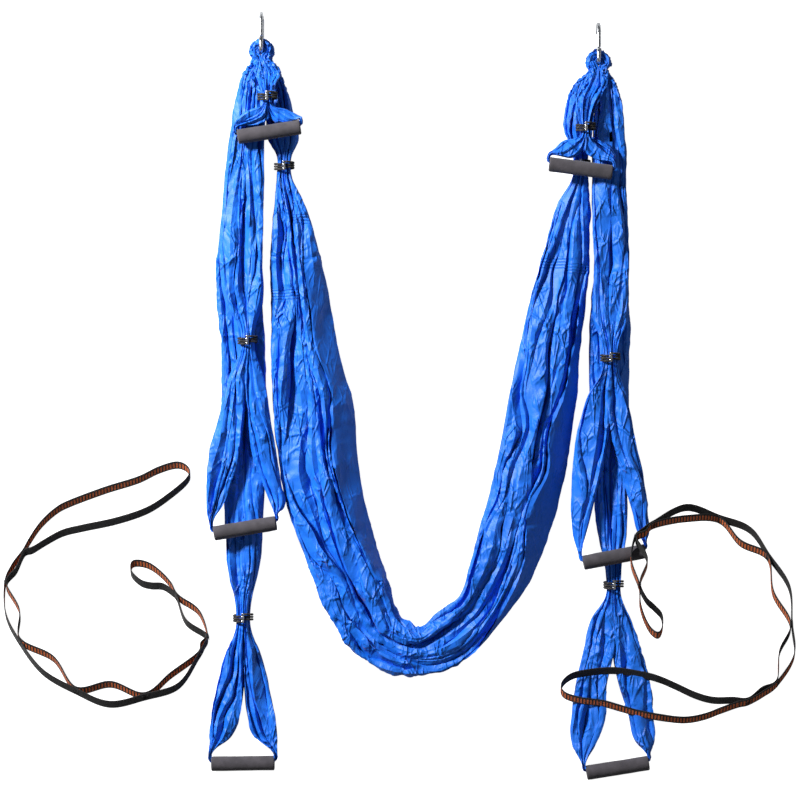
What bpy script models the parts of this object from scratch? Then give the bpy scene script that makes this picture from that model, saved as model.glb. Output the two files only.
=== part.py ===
"""Aerial hammock set, laid out flat: one cloth swing, six handle straps, their ties and grips,
two carabiners and two daisy chains of webbing. Metres, +Z up, Y up the page, Z towards the viewer.
"""
import math

import bmesh
import bpy
from mathutils import Matrix, Vector

# Layout: the left carabiner's bow, the way to the right one, and the swing that hangs between them
LEFT_BOW = (-0.27496, 0.68623)
SPAN_WIDTH = 0.671
RIGHT_BOW_DROP = 0.022
SWING_LENGTH = 1.238
SEAT_GAP = 0.0003
HALF_GAP = 0.0006

# Carabiner
WIRE_DIAMETER = 0.0085
CARABINER_LENGTH = 0.084
CARABINER_WIDTH = 0.046
BOTTOM_CORNER_RADIUS = 0.008
GATE_START = 0.027
GATE_DIAMETER = 0.0078
TONGUE_THICKNESS = 0.004
TONGUE_LENGTH = 0.006
NOSE_GAP = 0.0013
SHOULDER_GAP = 0.0023
TOP_BOW_SWEEP_DEG = 172
SLOT_CLEARANCE = 0.0003
PIN_DIAMETER = 0.003
SPRING_DIAMETER = 0.002
SPRING_LENGTH = 0.010

# Cloth eyes on the carabiner
EYE_THICKNESS = 0.018
EYE_HEIGHT = 0.0067
EYE_GAP = 0.0004
EYE_CLEARANCE = 0.0012
THROAT_DROP = 0.012

# Eyes on the carabiner from the floor up, and the straps' layers, each lying on the one below
EYE_ORDER = ["swing", "long", "medium", "short"]
LAYER_THICKNESS = {"long": 0.022, "medium": 0.0195, "short": 0.018}
STRAP_WIDTH = 0.080

# Necks and the elastic ties wound round them
NECK_WIDTH = 0.030
NECK_HEIGHT = 0.016
NECK_LENGTH = 0.044
TIE_CORD = 0.0042
TIE_PITCH = 0.0050
TIE_TURNS = 3
TIE_FIT = 0.0015
TIE_POINTS_A_TURN = 10
TIE_CORNER_SHARE = 0.62
CRIMP_LENGTH = 0.009
CRIMP_HEIGHT = 0.005

# Hand grips
GRIP_LENGTH = 0.126
GRIP_DIAMETER = 0.029
GRIP_TUBE_DIAMETER = 0.020
GRIP_BORE = 0.016
GRIP_EDGE = 0.0015
GRIP_SIDES = 20
CLOTH_AT_GRIP = 0.0056
CLOTH_BULGE_AT_GRIP = 0.009
CLOTH_IN_GRIP = 0.006
CLOTH_AT_RIM_SHARE = 0.6
INSIDE_GRIP_SHARE = 0.4
GRIP_APPROACH = 0.002

# Daisy chain webbing
WEB_WIDTH = 0.018
WEB_THICKNESS = 0.0022
WEB_LEAN_SHARES = (0.0, 0.8, 0.6)
WEB_STITCH_GAP = 0.0006
WEB_STEPS = 3

# Section of a gathered cloth band: share across, share up
RING_SHARES = [
    (-1.0, 0.42), (-0.68, 0.97), (-0.34, 0.68), (0.0, 1.0), (0.34, 0.68), (0.68, 0.97), (1.0, 0.42),
    (0.62, 0.0), (-0.62, 0.0),
]

# Places of a strap's tie and grip, sideways and down from its carabiner's bow
STRAPS = {
    "left_long": {"tie_shift": -0.037, "tie_drop": 1.128, "grip_shift": -0.0375, "grip_drop": 1.419},
    "left_medium": {"tie_shift": -0.027, "tie_drop": 0.575, "grip_shift": -0.032, "grip_drop": 0.949},
    "left_short": {"tie_shift": 0.013, "tie_drop": 0.092, "grip_shift": 0.0165, "grip_drop": 0.163},
    "right_long": {"tie_shift": 0.031, "tie_drop": 1.040, "grip_shift": 0.039, "grip_drop": 1.406},
    "right_medium": {"tie_shift": 0.023, "tie_drop": 0.587, "grip_shift": 0.031, "grip_drop": 0.984},
    "right_short": {"tie_shift": -0.027, "tie_drop": 0.131, "grip_shift": -0.037, "grip_drop": 0.213},
}
GRIP_TURN_DEG = {
    "left_long": 0.9, "left_medium": 9.5, "left_short": 8.9,
    "right_long": 9.2, "right_medium": 10.8, "right_short": -7.6,
}

# Trunk rows: share of the way from the throat to the neck, then the left and right edge as shares of the
# strap's width. Leg rows: share of the way from the neck to the grip, then the outer left, inner left,
# inner right and outer right edge as shares of the grip's length.
STRAP_ROW_SHARES = {
    "left_long": (
        [(0.03, -0.46, -0.01), (0.06, -0.57, 0.11), (0.14, -0.73, 0.12), (0.26, -0.85, 0.15),
         (0.41, -0.93, 0.19), (0.52, -0.76, 0.31), (0.64, -0.71, 0.39), (0.81, -0.56, 0.42),
         (0.94, -0.4, 0.33)],
        [(0.21, -0.29, 0.0, 0.01, 0.28), (0.49, -0.43, -0.01, 0.03, 0.42),
         (0.67, -0.5, -0.07, 0.07, 0.49), (0.85, -0.52, -0.23, 0.19, 0.53)]),
    "left_medium": (
        [(0.06, -0.42, 0.03), (0.13, -0.53, 0.15), (0.28, -0.68, 0.17), (0.52, -0.75, 0.22),
         (0.74, -0.78, 0.27), (0.91, -0.55, 0.32)],
        [(0.14, -0.27, -0.02, -0.01, 0.25), (0.36, -0.42, -0.04, 0.01, 0.36),
         (0.62, -0.59, -0.14, 0.11, 0.48), (0.8, -0.61, -0.28, 0.29, 0.56),
         (0.92, -0.62, -0.4, 0.42, 0.61)]),
    "left_short": (
        [(0.55, -0.23, 0.4)],
        [(0.37, -0.28, -0.03, 0.03, 0.31), (0.74, -0.44, -0.18, 0.2, 0.5)]),
    "right_long": (
        [(0.03, -0.04, 0.42), (0.07, -0.09, 0.53), (0.15, -0.2, 0.58), (0.26, -0.24, 0.56),
         (0.4, -0.24, 0.58), (0.54, -0.42, 0.58), (0.66, -0.44, 0.51), (0.8, -0.42, 0.43),
         (0.92, -0.34, 0.36)],
        [(0.15, -0.36, -0.03, -0.02, 0.27), (0.35, -0.5, -0.06, -0.02, 0.42),
         (0.53, -0.62, -0.15, 0.06, 0.54), (0.73, -0.7, -0.19, 0.21, 0.58),
         (0.91, -0.71, -0.36, 0.34, 0.58)]),
    "right_medium": (
        [(0.06, -0.03, 0.43), (0.12, -0.09, 0.52), (0.27, -0.19, 0.58), (0.47, -0.27, 0.55),
         (0.72, -0.29, 0.54), (0.92, -0.34, 0.41)],
        [(0.15, -0.35, -0.03, -0.02, 0.24), (0.38, -0.55, -0.07, 0.02, 0.36),
         (0.61, -0.64, -0.21, 0.18, 0.5), (0.8, -0.66, -0.35, 0.32, 0.54),
         (0.92, -0.64, -0.44, 0.4, 0.56)]),
    "right_short": (
        [(0.33, -0.25, 0.33), (0.66, -0.37, 0.21)],
        [(0.3, -0.28, -0.01, 0.05, 0.27), (0.67, -0.44, -0.16, 0.21, 0.46)]),
}
# How far down a leg its outer edge leads its inner edge, as a share: short straps' legs run sideways
LEG_LEAD = {"long": 0.0, "medium": 0.0, "short": 0.2}

# Swing rows from the left eye to the right one: outer edge across the span and down, inner edge across
# and down, then the height as a share of the swing's thickness
SWING_THICKNESS = 0.050
SWING_ROW_SHARES = [
    (0.003, 0.036, 0.057, 0.036, 0.0), (0.018, 0.065, 0.077, 0.065, 0.5),
    (0.014, 0.1, 0.094, 0.1, 0.56), (0.022, 0.143, 0.108, 0.143, 0.6), (0.039, 0.246, 0.128, 0.246, 0.62),
    (0.027, 0.328, 0.173, 0.328, 0.72), (0.027, 0.415, 0.206, 0.412, 0.78),
    (0.03, 0.496, 0.232, 0.491, 0.84), (0.036, 0.577, 0.271, 0.569, 0.9),
    (0.051, 0.649, 0.283, 0.64, 0.94), (0.077, 0.73, 0.301, 0.714, 0.96),
    (0.131, 0.816, 0.331, 0.779, 0.98), (0.212, 0.913, 0.376, 0.858, 1.0),
    (0.319, 0.981, 0.405, 0.916, 1.0), (0.474, 1.0, 0.468, 0.931, 1.0), (0.596, 0.981, 0.522, 0.906, 1.0),
    (0.706, 0.922, 0.593, 0.874, 1.0), (0.793, 0.855, 0.617, 0.83, 0.98),
    (0.849, 0.785, 0.65, 0.764, 0.96), (0.888, 0.716, 0.68, 0.706, 0.94), (0.915, 0.64, 0.709, 0.635, 0.9),
    (0.936, 0.561, 0.736, 0.557, 0.84), (0.945, 0.48, 0.765, 0.48, 0.78), (0.966, 0.399, 0.8, 0.399, 0.72),
    (0.973, 0.318, 0.842, 0.318, 0.66), (0.975, 0.246, 0.881, 0.246, 0.6),
    (0.982, 0.12, 0.9, 0.12, 0.56), (0.988, 0.082, 0.907, 0.082, 0.5), (0.994, 0.053, 0.926, 0.053, 0.0),
]
SWING_TIES = {"left": {"shift": 0.045, "drop": 0.227}, "right": {"shift": -0.035, "drop": 0.202}}
ROWS_BEFORE_NECK = {"left": 4, "right": 26}

# Daisy chains: where the middle of each one lies from its carabiner's bow, then its route in shares of
# its width: the bar tacks, how far the two strands bow out between them, and the two end loops. A place
# is across, down and a level: 0 on the floor, 1 on a long strap, 2 on a medium strap's grip.
CHAIN_WIDTH = 0.400
CHAIN_MIDDLES = {"left": {"shift": -0.324, "drop": 1.094}, "right": {"shift": 0.205, "drop": 1.112}}
CHAIN_ROUTE_SHARES = {
    "left": {
        "tacks": [(-0.38, -0.235, 0), (-0.47, -0.075, 0), (-0.4, 0.205, 0), (-0.12, 0.45, 0),
                  (0.225, 0.48, 0), (0.49, 0.28, 0), (0.535, 0.18, 0), (0.39, -0.01, 0)],
        "bows": [(-0.015, 0.01), (-0.035, 0.035), (-0.04, 0.045), (-0.055, 0.045), (-0.06, 0.005),
                 (-0.008, 0.008), (-0.04, 0.04)],
        "big_loop": [(-0.35, -0.295, 0), (-0.295, -0.375, 0), (-0.22, -0.445, 0), (-0.145, -0.485, 0),
                     (0.03, -0.55, 0), (0.19, -0.6, 0), (0.295, -0.65, 0), (0.39, -0.675, 0),
                     (0.445, -0.645, 0), (0.435, -0.595, 0), (0.335, -0.51, 0), (0.23, -0.445, 0),
                     (0.08, -0.395, 0), (-0.085, -0.36, 0), (-0.185, -0.335, 0), (-0.27, -0.29, 0),
                     (-0.335, -0.25, 0)],
        "small_loop": [(0.365, -0.035, 0), (0.315, -0.068, 0), (0.255, -0.072, 0), (0.205, -0.087, 0),
                       (0.16, -0.13, 0), (0.16, -0.175, 0), (0.195, -0.185, 0), (0.25, -0.17, 0),
                       (0.305, -0.13, 0), (0.355, -0.075, 0)],
    },
    "right": {
        "tacks": [(0.24, 0.405, 0), (0.385, 0.31, 0), (0.455, 0.025, 0), (0.34, -0.315, 0),
                  (0.095, -0.505, 0), (-0.24, -0.485, 2), (-0.335, -0.41, 2), (-0.315, -0.19, 2)],
        "bows": [(-0.01, 0.01), (-0.05, 0.025), (-0.05, 0.035), (-0.05, 0.03), (-0.07, -0.015),
                 (-0.008, 0.008), (-0.03, 0.05)],
        "big_loop": [(0.19, 0.42, 0), (0.105, 0.45, 0), (0.015, 0.482, 0.2), (-0.085, 0.495, 0.6),
                     (-0.205, 0.48, 1), (-0.32, 0.458, 1), (-0.41, 0.432, 1), (-0.49, 0.41, 1),
                     (-0.61, 0.393, 1), (-0.685, 0.365, 1), (-0.695, 0.32, 1), (-0.645, 0.275, 1),
                     (-0.55, 0.255, 1), (-0.435, 0.247, 1), (-0.32, 0.263, 1), (-0.22, 0.287, 1),
                     (-0.125, 0.328, 0.6), (-0.025, 0.375, 0.2), (0.065, 0.4, 0), (0.16, 0.4, 0)],
        "small_loop": [(-0.28, -0.11, 1.4), (-0.235, -0.065, 0.9), (-0.195, -0.02, 0.4),
                       (-0.19, 0.04, 0.1), (-0.21, 0.075, 0), (-0.245, 0.055, 0), (-0.28, -0.005, 0.4),
                       (-0.305, -0.08, 1.1), (-0.31, -0.15, 1.7)],
    },
}


def bow_place(side):
    """The middle of a carabiner's bottom bow on the table."""
    left = Vector(LEFT_BOW)
    return left if side == "left" else left + Vector((SPAN_WIDTH, -RIGHT_BOW_DROP))


def below(side, shift, drop):
    """A place sideways and down from a carabiner's bow."""
    return bow_place(side) + Vector((shift, -drop))


def clear_scene():
    for old in list(bpy.data.objects):
        bpy.data.objects.remove(old, do_unlink=True)


def material(name, colour, roughness, metallic=0.0):
    made = bpy.data.materials.new(name)
    made.use_nodes = True
    shader = made.node_tree.nodes["Principled BSDF"]
    shader.inputs["Base Color"].default_value = (*colour, 1.0)
    shader.inputs["Roughness"].default_value = roughness
    shader.inputs["Metallic"].default_value = metallic
    made.diffuse_color = (*colour, 1.0)
    return made


def link(name, mesh_or_curve, finish):
    made = bpy.data.objects.new(name, mesh_or_curve)
    bpy.context.scene.collection.objects.link(made)
    made.data.materials.append(finish)
    return made


def finish_mesh(bm, name, finish, smooth=True):
    bmesh.ops.recalc_face_normals(bm, faces=bm.faces)
    mesh = bpy.data.meshes.new(name)
    bm.to_mesh(mesh)
    bm.free()
    if smooth:
        mesh.shade_smooth()
        mesh.set_sharp_from_angle(angle=math.radians(40))
    return link(name, mesh, finish)


def ring_loop(name, stations, finish):
    """One closed band of cloth: each station is an inner edge, an outer edge, a bottom and a top."""
    bm = bmesh.new()
    rings = []
    for inner, outer, bottom, top in stations:
        middle = (inner + outer) / 2
        reach = (outer - inner) / 2
        ring = []
        for across, up in RING_SHARES:
            spot = middle + reach * across
            ring.append(bm.verts.new((spot.x, spot.y, bottom + (top - bottom) * up)))
        rings.append(ring)
    count = len(RING_SHARES)
    for here, ring in enumerate(rings):
        following = rings[(here + 1) % len(rings)]
        for k in range(count):
            after = (k + 1) % count
            bm.faces.new((ring[k], ring[after], following[after], following[k]))
    return finish_mesh(bm, name, finish)


def eye_slot(cloth):
    """Bottom and top of one cloth's eye in the stack of four on the carabiner's bow."""
    bottom = WIRE_DIAMETER + EYE_GAP + EYE_ORDER.index(cloth) * (EYE_HEIGHT + EYE_GAP)
    return bottom, bottom + EYE_HEIGHT


def layer_span(cut):
    """Bottom and top of a strap that lies on the floor or on the strap below it."""
    bottom = 0.0
    for below_it, thickness in LAYER_THICKNESS.items():
        if below_it == cut:
            return bottom, bottom + thickness
        bottom += thickness + SEAT_GAP


def eye_stations(side, cloth, start_deg, end_deg):
    """The cloth's turn round the wire, from one angle to another."""
    centre = bow_place(side)
    bottom, top = eye_slot(cloth)
    inner = WIRE_DIAMETER / 2 + EYE_CLEARANCE
    outer = inner + EYE_THICKNESS
    stations = []
    for step in range(5):
        angle = math.radians(start_deg + (end_deg - start_deg) * step / 4)
        away = Vector((math.cos(angle), math.sin(angle)))
        stations.append((centre + away * inner, centre + away * outer, bottom, top))
    return stations


def throat_station(side, cloth, sign):
    """The cloth just below the wire, on one side of it."""
    spot = below(side, 0.0, THROAT_DROP)
    across = Vector((sign, 0.0))
    inner = (WIRE_DIAMETER / 2 + EYE_CLEARANCE) / 2
    return (spot + across * inner, spot + across * (inner + EYE_THICKNESS), *eye_slot(cloth))


def neck_span(bottom):
    """A neck is held up by the cord of the tie that passes under it."""
    low = bottom + TIE_CORD + TIE_FIT + SEAT_GAP
    return low, low + NECK_HEIGHT


def neck_rows(centre, along, bottom):
    """Places of a straight neck above and below its tie, with its half width, bottom and top."""
    low, high = neck_span(bottom)
    return [(centre + along * (NECK_LENGTH * end), NECK_WIDTH / 2, low, high) for end in (-0.5, 0.5)]


def grip_frame(name):
    """Centre of a grip, the unit vector along it and the one across it towards the carabiner."""
    side, _ = name.split("_")
    turn = math.radians(GRIP_TURN_DEG[name])
    along = Vector((math.cos(turn), math.sin(turn)))
    sizes = STRAPS[name]
    return below(side, sizes["grip_shift"], sizes["grip_drop"]), along, Vector((-along.y, along.x))


def grip_height(cut):
    return layer_span(cut)[0] + GRIP_DIAMETER / 2


def turn_into_grip(centre, along, up, side, height):
    """The cloth's tight turn from beside the grip's end into its bore."""
    end = centre + along * (side * GRIP_LENGTH / 2)
    rim = end + up * (GRIP_BORE / 2)
    beside = end + up * (GRIP_DIAMETER / 2 + GRIP_APPROACH) + along * (side * SEAT_GAP)
    stations = [(beside, beside + along * (side * CLOTH_AT_GRIP), height - CLOTH_BULGE_AT_GRIP,
                 height + CLOTH_BULGE_AT_GRIP)]
    spreads = (CLOTH_BULGE_AT_GRIP, CLOTH_IN_GRIP, CLOTH_IN_GRIP * CLOTH_AT_RIM_SHARE)
    for degrees, spread in zip((0, 45, 90), spreads):
        angle = math.radians(degrees)
        away = along * (side * math.cos(angle)) - up * math.sin(angle)
        inner = rim + away * SEAT_GAP
        stations.append((inner, inner + away * CLOTH_AT_GRIP, height - spread, height + spread))
    inside = centre + along * (side * GRIP_LENGTH * INSIDE_GRIP_SHARE)
    stations.append((inside + up * CLOTH_IN_GRIP, inside - up * CLOTH_IN_GRIP,
                     height - CLOTH_IN_GRIP, height + CLOTH_IN_GRIP))
    return stations


def edge_at(start, end, share, reach):
    """A place part of the way down a stretch of cloth, and sideways from its middle line."""
    spot = start.lerp(end, share)
    return spot + Vector((reach, 0.0))


def strap_side(name, sign):
    """Stations of one half of a strap, from under its eye to the middle of its grip."""
    side, cut = name.split("_")
    low, high = layer_span(cut)
    bow = bow_place(side)
    tie = below(side, STRAPS[name]["tie_shift"], STRAPS[name]["tie_drop"])
    centre, along, up = grip_frame(name)
    stations = [throat_station(side, cut, sign)]
    half_gap = Vector((sign, 0.0)) * (HALF_GAP / 2)
    trunk_rows, leg_rows = STRAP_ROW_SHARES[name]

    to_tie = (tie - bow) / (bow.y - tie.y)
    throat = bow + to_tie * THROAT_DROP
    neck_top = tie - to_tie * (NECK_LENGTH / 2)
    for number, (share, left, right) in enumerate(trunk_rows):
        middle = edge_at(throat, neck_top, share, (left + right) / 2 * STRAP_WIDTH)
        edge = edge_at(throat, neck_top, share, (right if sign > 0 else left) * STRAP_WIDTH)
        span = eye_slot(cut) if number == 0 else (low, high)
        stations.append((middle + half_gap, edge, *span))

    for spot, half, bottom, top in neck_rows(tie, Vector((0.0, -1.0)), low):
        stations.append((spot + half_gap, spot + Vector((sign * half, 0.0)), bottom, top))

    to_grip = (centre - tie) / (tie.y - centre.y)
    neck_bottom = tie + to_grip * (NECK_LENGTH / 2)
    beside = centre - to_grip * (GRIP_DIAMETER / 2 + GRIP_APPROACH)
    for share, left, inner_left, inner_right, right in leg_rows:
        inner, outer = (inner_right, right) if sign > 0 else (inner_left, left)
        stations.append((edge_at(neck_bottom, beside, share + LEG_LEAD[cut], inner * GRIP_LENGTH),
                         edge_at(neck_bottom, beside, share - LEG_LEAD[cut], outer * GRIP_LENGTH),
                         low, high))
    stations += turn_into_grip(centre, along, up, sign, grip_height(cut))
    return stations


def strap(name, cloth):
    """A folded loop of cloth: eye, two halves side by side, two legs, and the run through the grip."""
    side, cut = name.split("_")
    right = strap_side(name, 1)
    left = strap_side(name, -1)
    return ring_loop(name + "_strap", eye_stations(side, cut, 180, 0) + right + list(reversed(left)), cloth)


def swing_rows():
    """Outer edge, inner edge, bottom and top of the swing, from the left eye to the right one."""
    rows = []
    for number, (outer_x, outer_y, inner_x, inner_y, share) in enumerate(SWING_ROW_SHARES):
        for side, heading in (("left", -1), ("right", 1)):
            if number != ROWS_BEFORE_NECK[side]:
                continue
            tie = below(side, SWING_TIES[side]["shift"], SWING_TIES[side]["drop"])
            outward = Vector((heading, 0.0))
            for spot, half, low, high in neck_rows(tie, Vector((0.0, heading)), 0.0):
                rows.append((spot + outward * half, spot - outward * half, low, high))
        first_or_last = number in (0, len(SWING_ROW_SHARES) - 1)
        span = eye_slot("swing") if first_or_last else (0.0, SWING_THICKNESS * share)
        rows.append((below("left", SPAN_WIDTH * outer_x, SWING_LENGTH * outer_y),
                     below("left", SPAN_WIDTH * inner_x, SWING_LENGTH * inner_y), *span))
    return rows


def swing(cloth):
    """The swing is a gathered sheet: two halves side by side, each ending in the turn round a wire."""
    outer_half, inner_half = [], []
    for outer, inner, bottom, top in swing_rows():
        middle = (outer + inner) / 2
        away = (outer - inner).normalized() * (HALF_GAP / 2)
        outer_half.append((middle + away, outer, bottom, top))
        inner_half.append((middle - away, inner, bottom, top))
    stations = list(outer_half)
    stations.append(throat_station("right", "swing", 1))
    stations += eye_stations("right", "swing", 0, 180)
    stations.append(throat_station("right", "swing", -1))
    stations += reversed(inner_half)
    stations.append(throat_station("left", "swing", 1))
    stations += eye_stations("left", "swing", 0, 180)
    stations.append(throat_station("left", "swing", -1))
    return ring_loop("swing_cloth", stations, cloth)


def tube(name, points, radius, finish, resolution=1):
    """An unbroken round cord along the points, with flat ends."""
    curve = bpy.data.curves.new(name, "CURVE")
    curve.dimensions = "3D"
    curve.bevel_depth = radius
    curve.bevel_resolution = resolution
    curve.use_fill_caps = True
    line = curve.splines.new("POLY")
    line.points.add(len(points) - 1)
    for spot, place in zip(line.points, points):
        spot.co = (*place, 1.0)
    return link(name, curve, finish)


def rounded(value):
    """Rounds a circle's sine or cosine towards a box with soft corners."""
    return math.copysign(abs(value) ** TIE_CORNER_SHARE, value)


def tie_points(centre, bottom):
    """The winding of one tie: turns side by side, and both ends raised into the crimp on top of them."""
    low, high = neck_span(bottom)
    radius = TIE_CORD / 2
    half_width = NECK_WIDTH / 2 + TIE_FIT + radius
    half_height = NECK_HEIGHT / 2 + TIE_FIT + radius
    middle = (low + high) / 2
    start_y = centre.y + TIE_PITCH * TIE_TURNS / 2
    steps = TIE_POINTS_A_TURN * TIE_TURNS
    points = []
    for step in range(1, steps):
        share = step / steps
        angle = 2 * math.pi * TIE_TURNS * share
        points.append(Vector((centre.x + half_width * rounded(math.sin(angle)),
                              start_y - TIE_PITCH * TIE_TURNS * share,
                              middle + half_height * rounded(math.cos(angle)))))
    lead = CRIMP_LENGTH / 2 + SEAT_GAP
    for end, sign in ((0, 1), (len(points), -1)):
        y = start_y if sign > 0 else start_y - TIE_PITCH * TIE_TURNS
        near = Vector((centre.x + sign * lead, y, middle + half_height + TIE_CORD + SEAT_GAP))
        after = near + Vector((sign * TIE_CORD, 0.0, 0.0))
        if sign > 0:
            points[0:0] = [near, after]
        else:
            points += [after, near]
    return points


def mesh_tube(name, points, radius, finish, resolution):
    """The same cord as a mesh, so that modifiers can cut it."""
    line = tube(name + "_line", points, radius, finish, resolution)
    bpy.context.view_layer.update()
    mesh = bpy.data.meshes.new_from_object(line)
    bpy.data.objects.remove(line, do_unlink=True)
    bm = bmesh.new()
    bm.from_mesh(mesh)
    bmesh.ops.remove_doubles(bm, verts=bm.verts, dist=radius / 1000)
    return finish_mesh(bm, name, finish)


def least_gap(points, radius):
    """Least gap of a winding to itself, measured on points closer together than its corners."""
    fine = []
    for here, there in zip(points, points[1:]):
        for step in range(6):
            fine.append(here.lerp(there, step / 6))
    apart = int(TIE_POINTS_A_TURN * 6 * 0.6)
    nearest = min((fine[i] - fine[j]).length for i in range(len(fine)) for j in range(i + apart, len(fine)))
    return nearest - 2 * radius


def box(name, low, high, finish, edge=0.0):
    bm = bmesh.new()
    bmesh.ops.create_cube(bm, size=1.0)
    for vert in bm.verts:
        vert.co = Vector([low[k] + (high[k] - low[k]) * (vert.co[k] + 0.5) for k in range(3)])
    if edge:
        bmesh.ops.bevel(bm, geom=bm.edges[:], offset=edge, segments=1, profile=0.5, affect="EDGES")
    return finish_mesh(bm, name, finish, smooth=False)


def tie_and_crimp(name, centre, bottom, elastic, steel):
    points = tie_points(centre, bottom)
    tube(name + "_tie", points, TIE_CORD / 2, elastic)
    floor = neck_span(bottom)[1] + TIE_FIT + TIE_CORD + SEAT_GAP
    half_y = (TIE_PITCH * TIE_TURNS + TIE_CORD) / 2
    box(name + "_crimp", (centre.x - CRIMP_LENGTH / 2, centre.y - half_y, floor),
        (centre.x + CRIMP_LENGTH / 2, centre.y + half_y, floor + CRIMP_HEIGHT), steel, CRIMP_HEIGHT / 6)
    return least_gap(points, TIE_CORD / 2)


def sleeve(name, length, outer, bore, edge, finish):
    """A round sleeve along X, spun from its half section."""
    bm = bmesh.new()
    half = length / 2
    section = [(-half, bore / 2), (-half, outer / 2 - edge), (-half + edge, outer / 2),
               (half - edge, outer / 2), (half, outer / 2 - edge), (half, bore / 2)]
    rows = [bm.verts.new((x, r, 0.0)) for x, r in section]
    edges = [bm.edges.new((rows[k], rows[(k + 1) % len(rows)])) for k in range(len(rows))]
    bmesh.ops.spin(bm, geom=rows + edges, cent=(0, 0, 0), axis=(1, 0, 0), angle=math.tau,
                   steps=GRIP_SIDES, use_merge=True)
    return finish_mesh(bm, name, finish)


def grip(name, foam, plastic):
    centre, along, _ = grip_frame(name)
    height = grip_height(name.split("_")[1])
    turn = Matrix.Rotation(math.atan2(along.y, along.x), 4, "Z")
    place = Matrix.Translation((centre.x, centre.y, height)) @ turn
    bore = GRIP_TUBE_DIAMETER + 2 * SEAT_GAP
    outer = sleeve(name + "_foam_grip", GRIP_LENGTH, GRIP_DIAMETER, bore, GRIP_EDGE, foam)
    core = sleeve(name + "_grip_tube", GRIP_LENGTH, GRIP_TUBE_DIAMETER, GRIP_BORE, GRIP_EDGE / 4, plastic)
    for made in (outer, core):
        made.matrix_world = place


def cylinder(name, radius, low, high, finish, sides=16):
    """A closed round bar between two points."""
    bm = bmesh.new()
    axis = Vector(high) - Vector(low)
    turn = axis.to_track_quat("Z", "Y").to_matrix().to_4x4()
    place = Matrix.Translation((Vector(high) + Vector(low)) / 2) @ turn
    bmesh.ops.create_cone(bm, cap_ends=True, segments=sides, radius1=radius, radius2=radius,
                          depth=axis.length, matrix=place)
    return finish_mesh(bm, name, finish)


def hide_cutter(made):
    made.hide_render = True
    made.display_type = "WIRE"
    return made


def boolean(target, tool, operation):
    step = target.modifiers.new(operation.lower(), "BOOLEAN")
    step.operation = operation
    step.solver = "EXACT"
    step.object = hide_cutter(tool)


def wire_line(bow):
    """The bent wire from the gate's pivot round the bottom bow, spine and top bow to the nose."""
    low_z, high_z = WIRE_DIAMETER / 2, CARABINER_WIDTH - WIRE_DIAMETER / 2
    corner = BOTTOM_CORNER_RADIUS
    top_radius = (high_z - low_z) / 2
    top_y = bow.y + CARABINER_LENGTH - WIRE_DIAMETER - top_radius
    points = [(bow.y + GATE_START, high_z)]
    for centre_z, start in ((high_z - corner, 0), (low_z + corner, 90)):
        for step in range(5):
            angle = math.radians(start + 90 * step / 4)
            points.append((bow.y + corner - corner * math.sin(angle), centre_z + corner * math.cos(angle)))
    for step in range(13):
        angle = math.radians(180 - TOP_BOW_SWEEP_DEG * step / 12)
        points.append((top_y + top_radius * math.sin(angle), low_z + top_radius * (1 + math.cos(angle))))
    return [Vector((bow.x, y, z)) for y, z in points]


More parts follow.
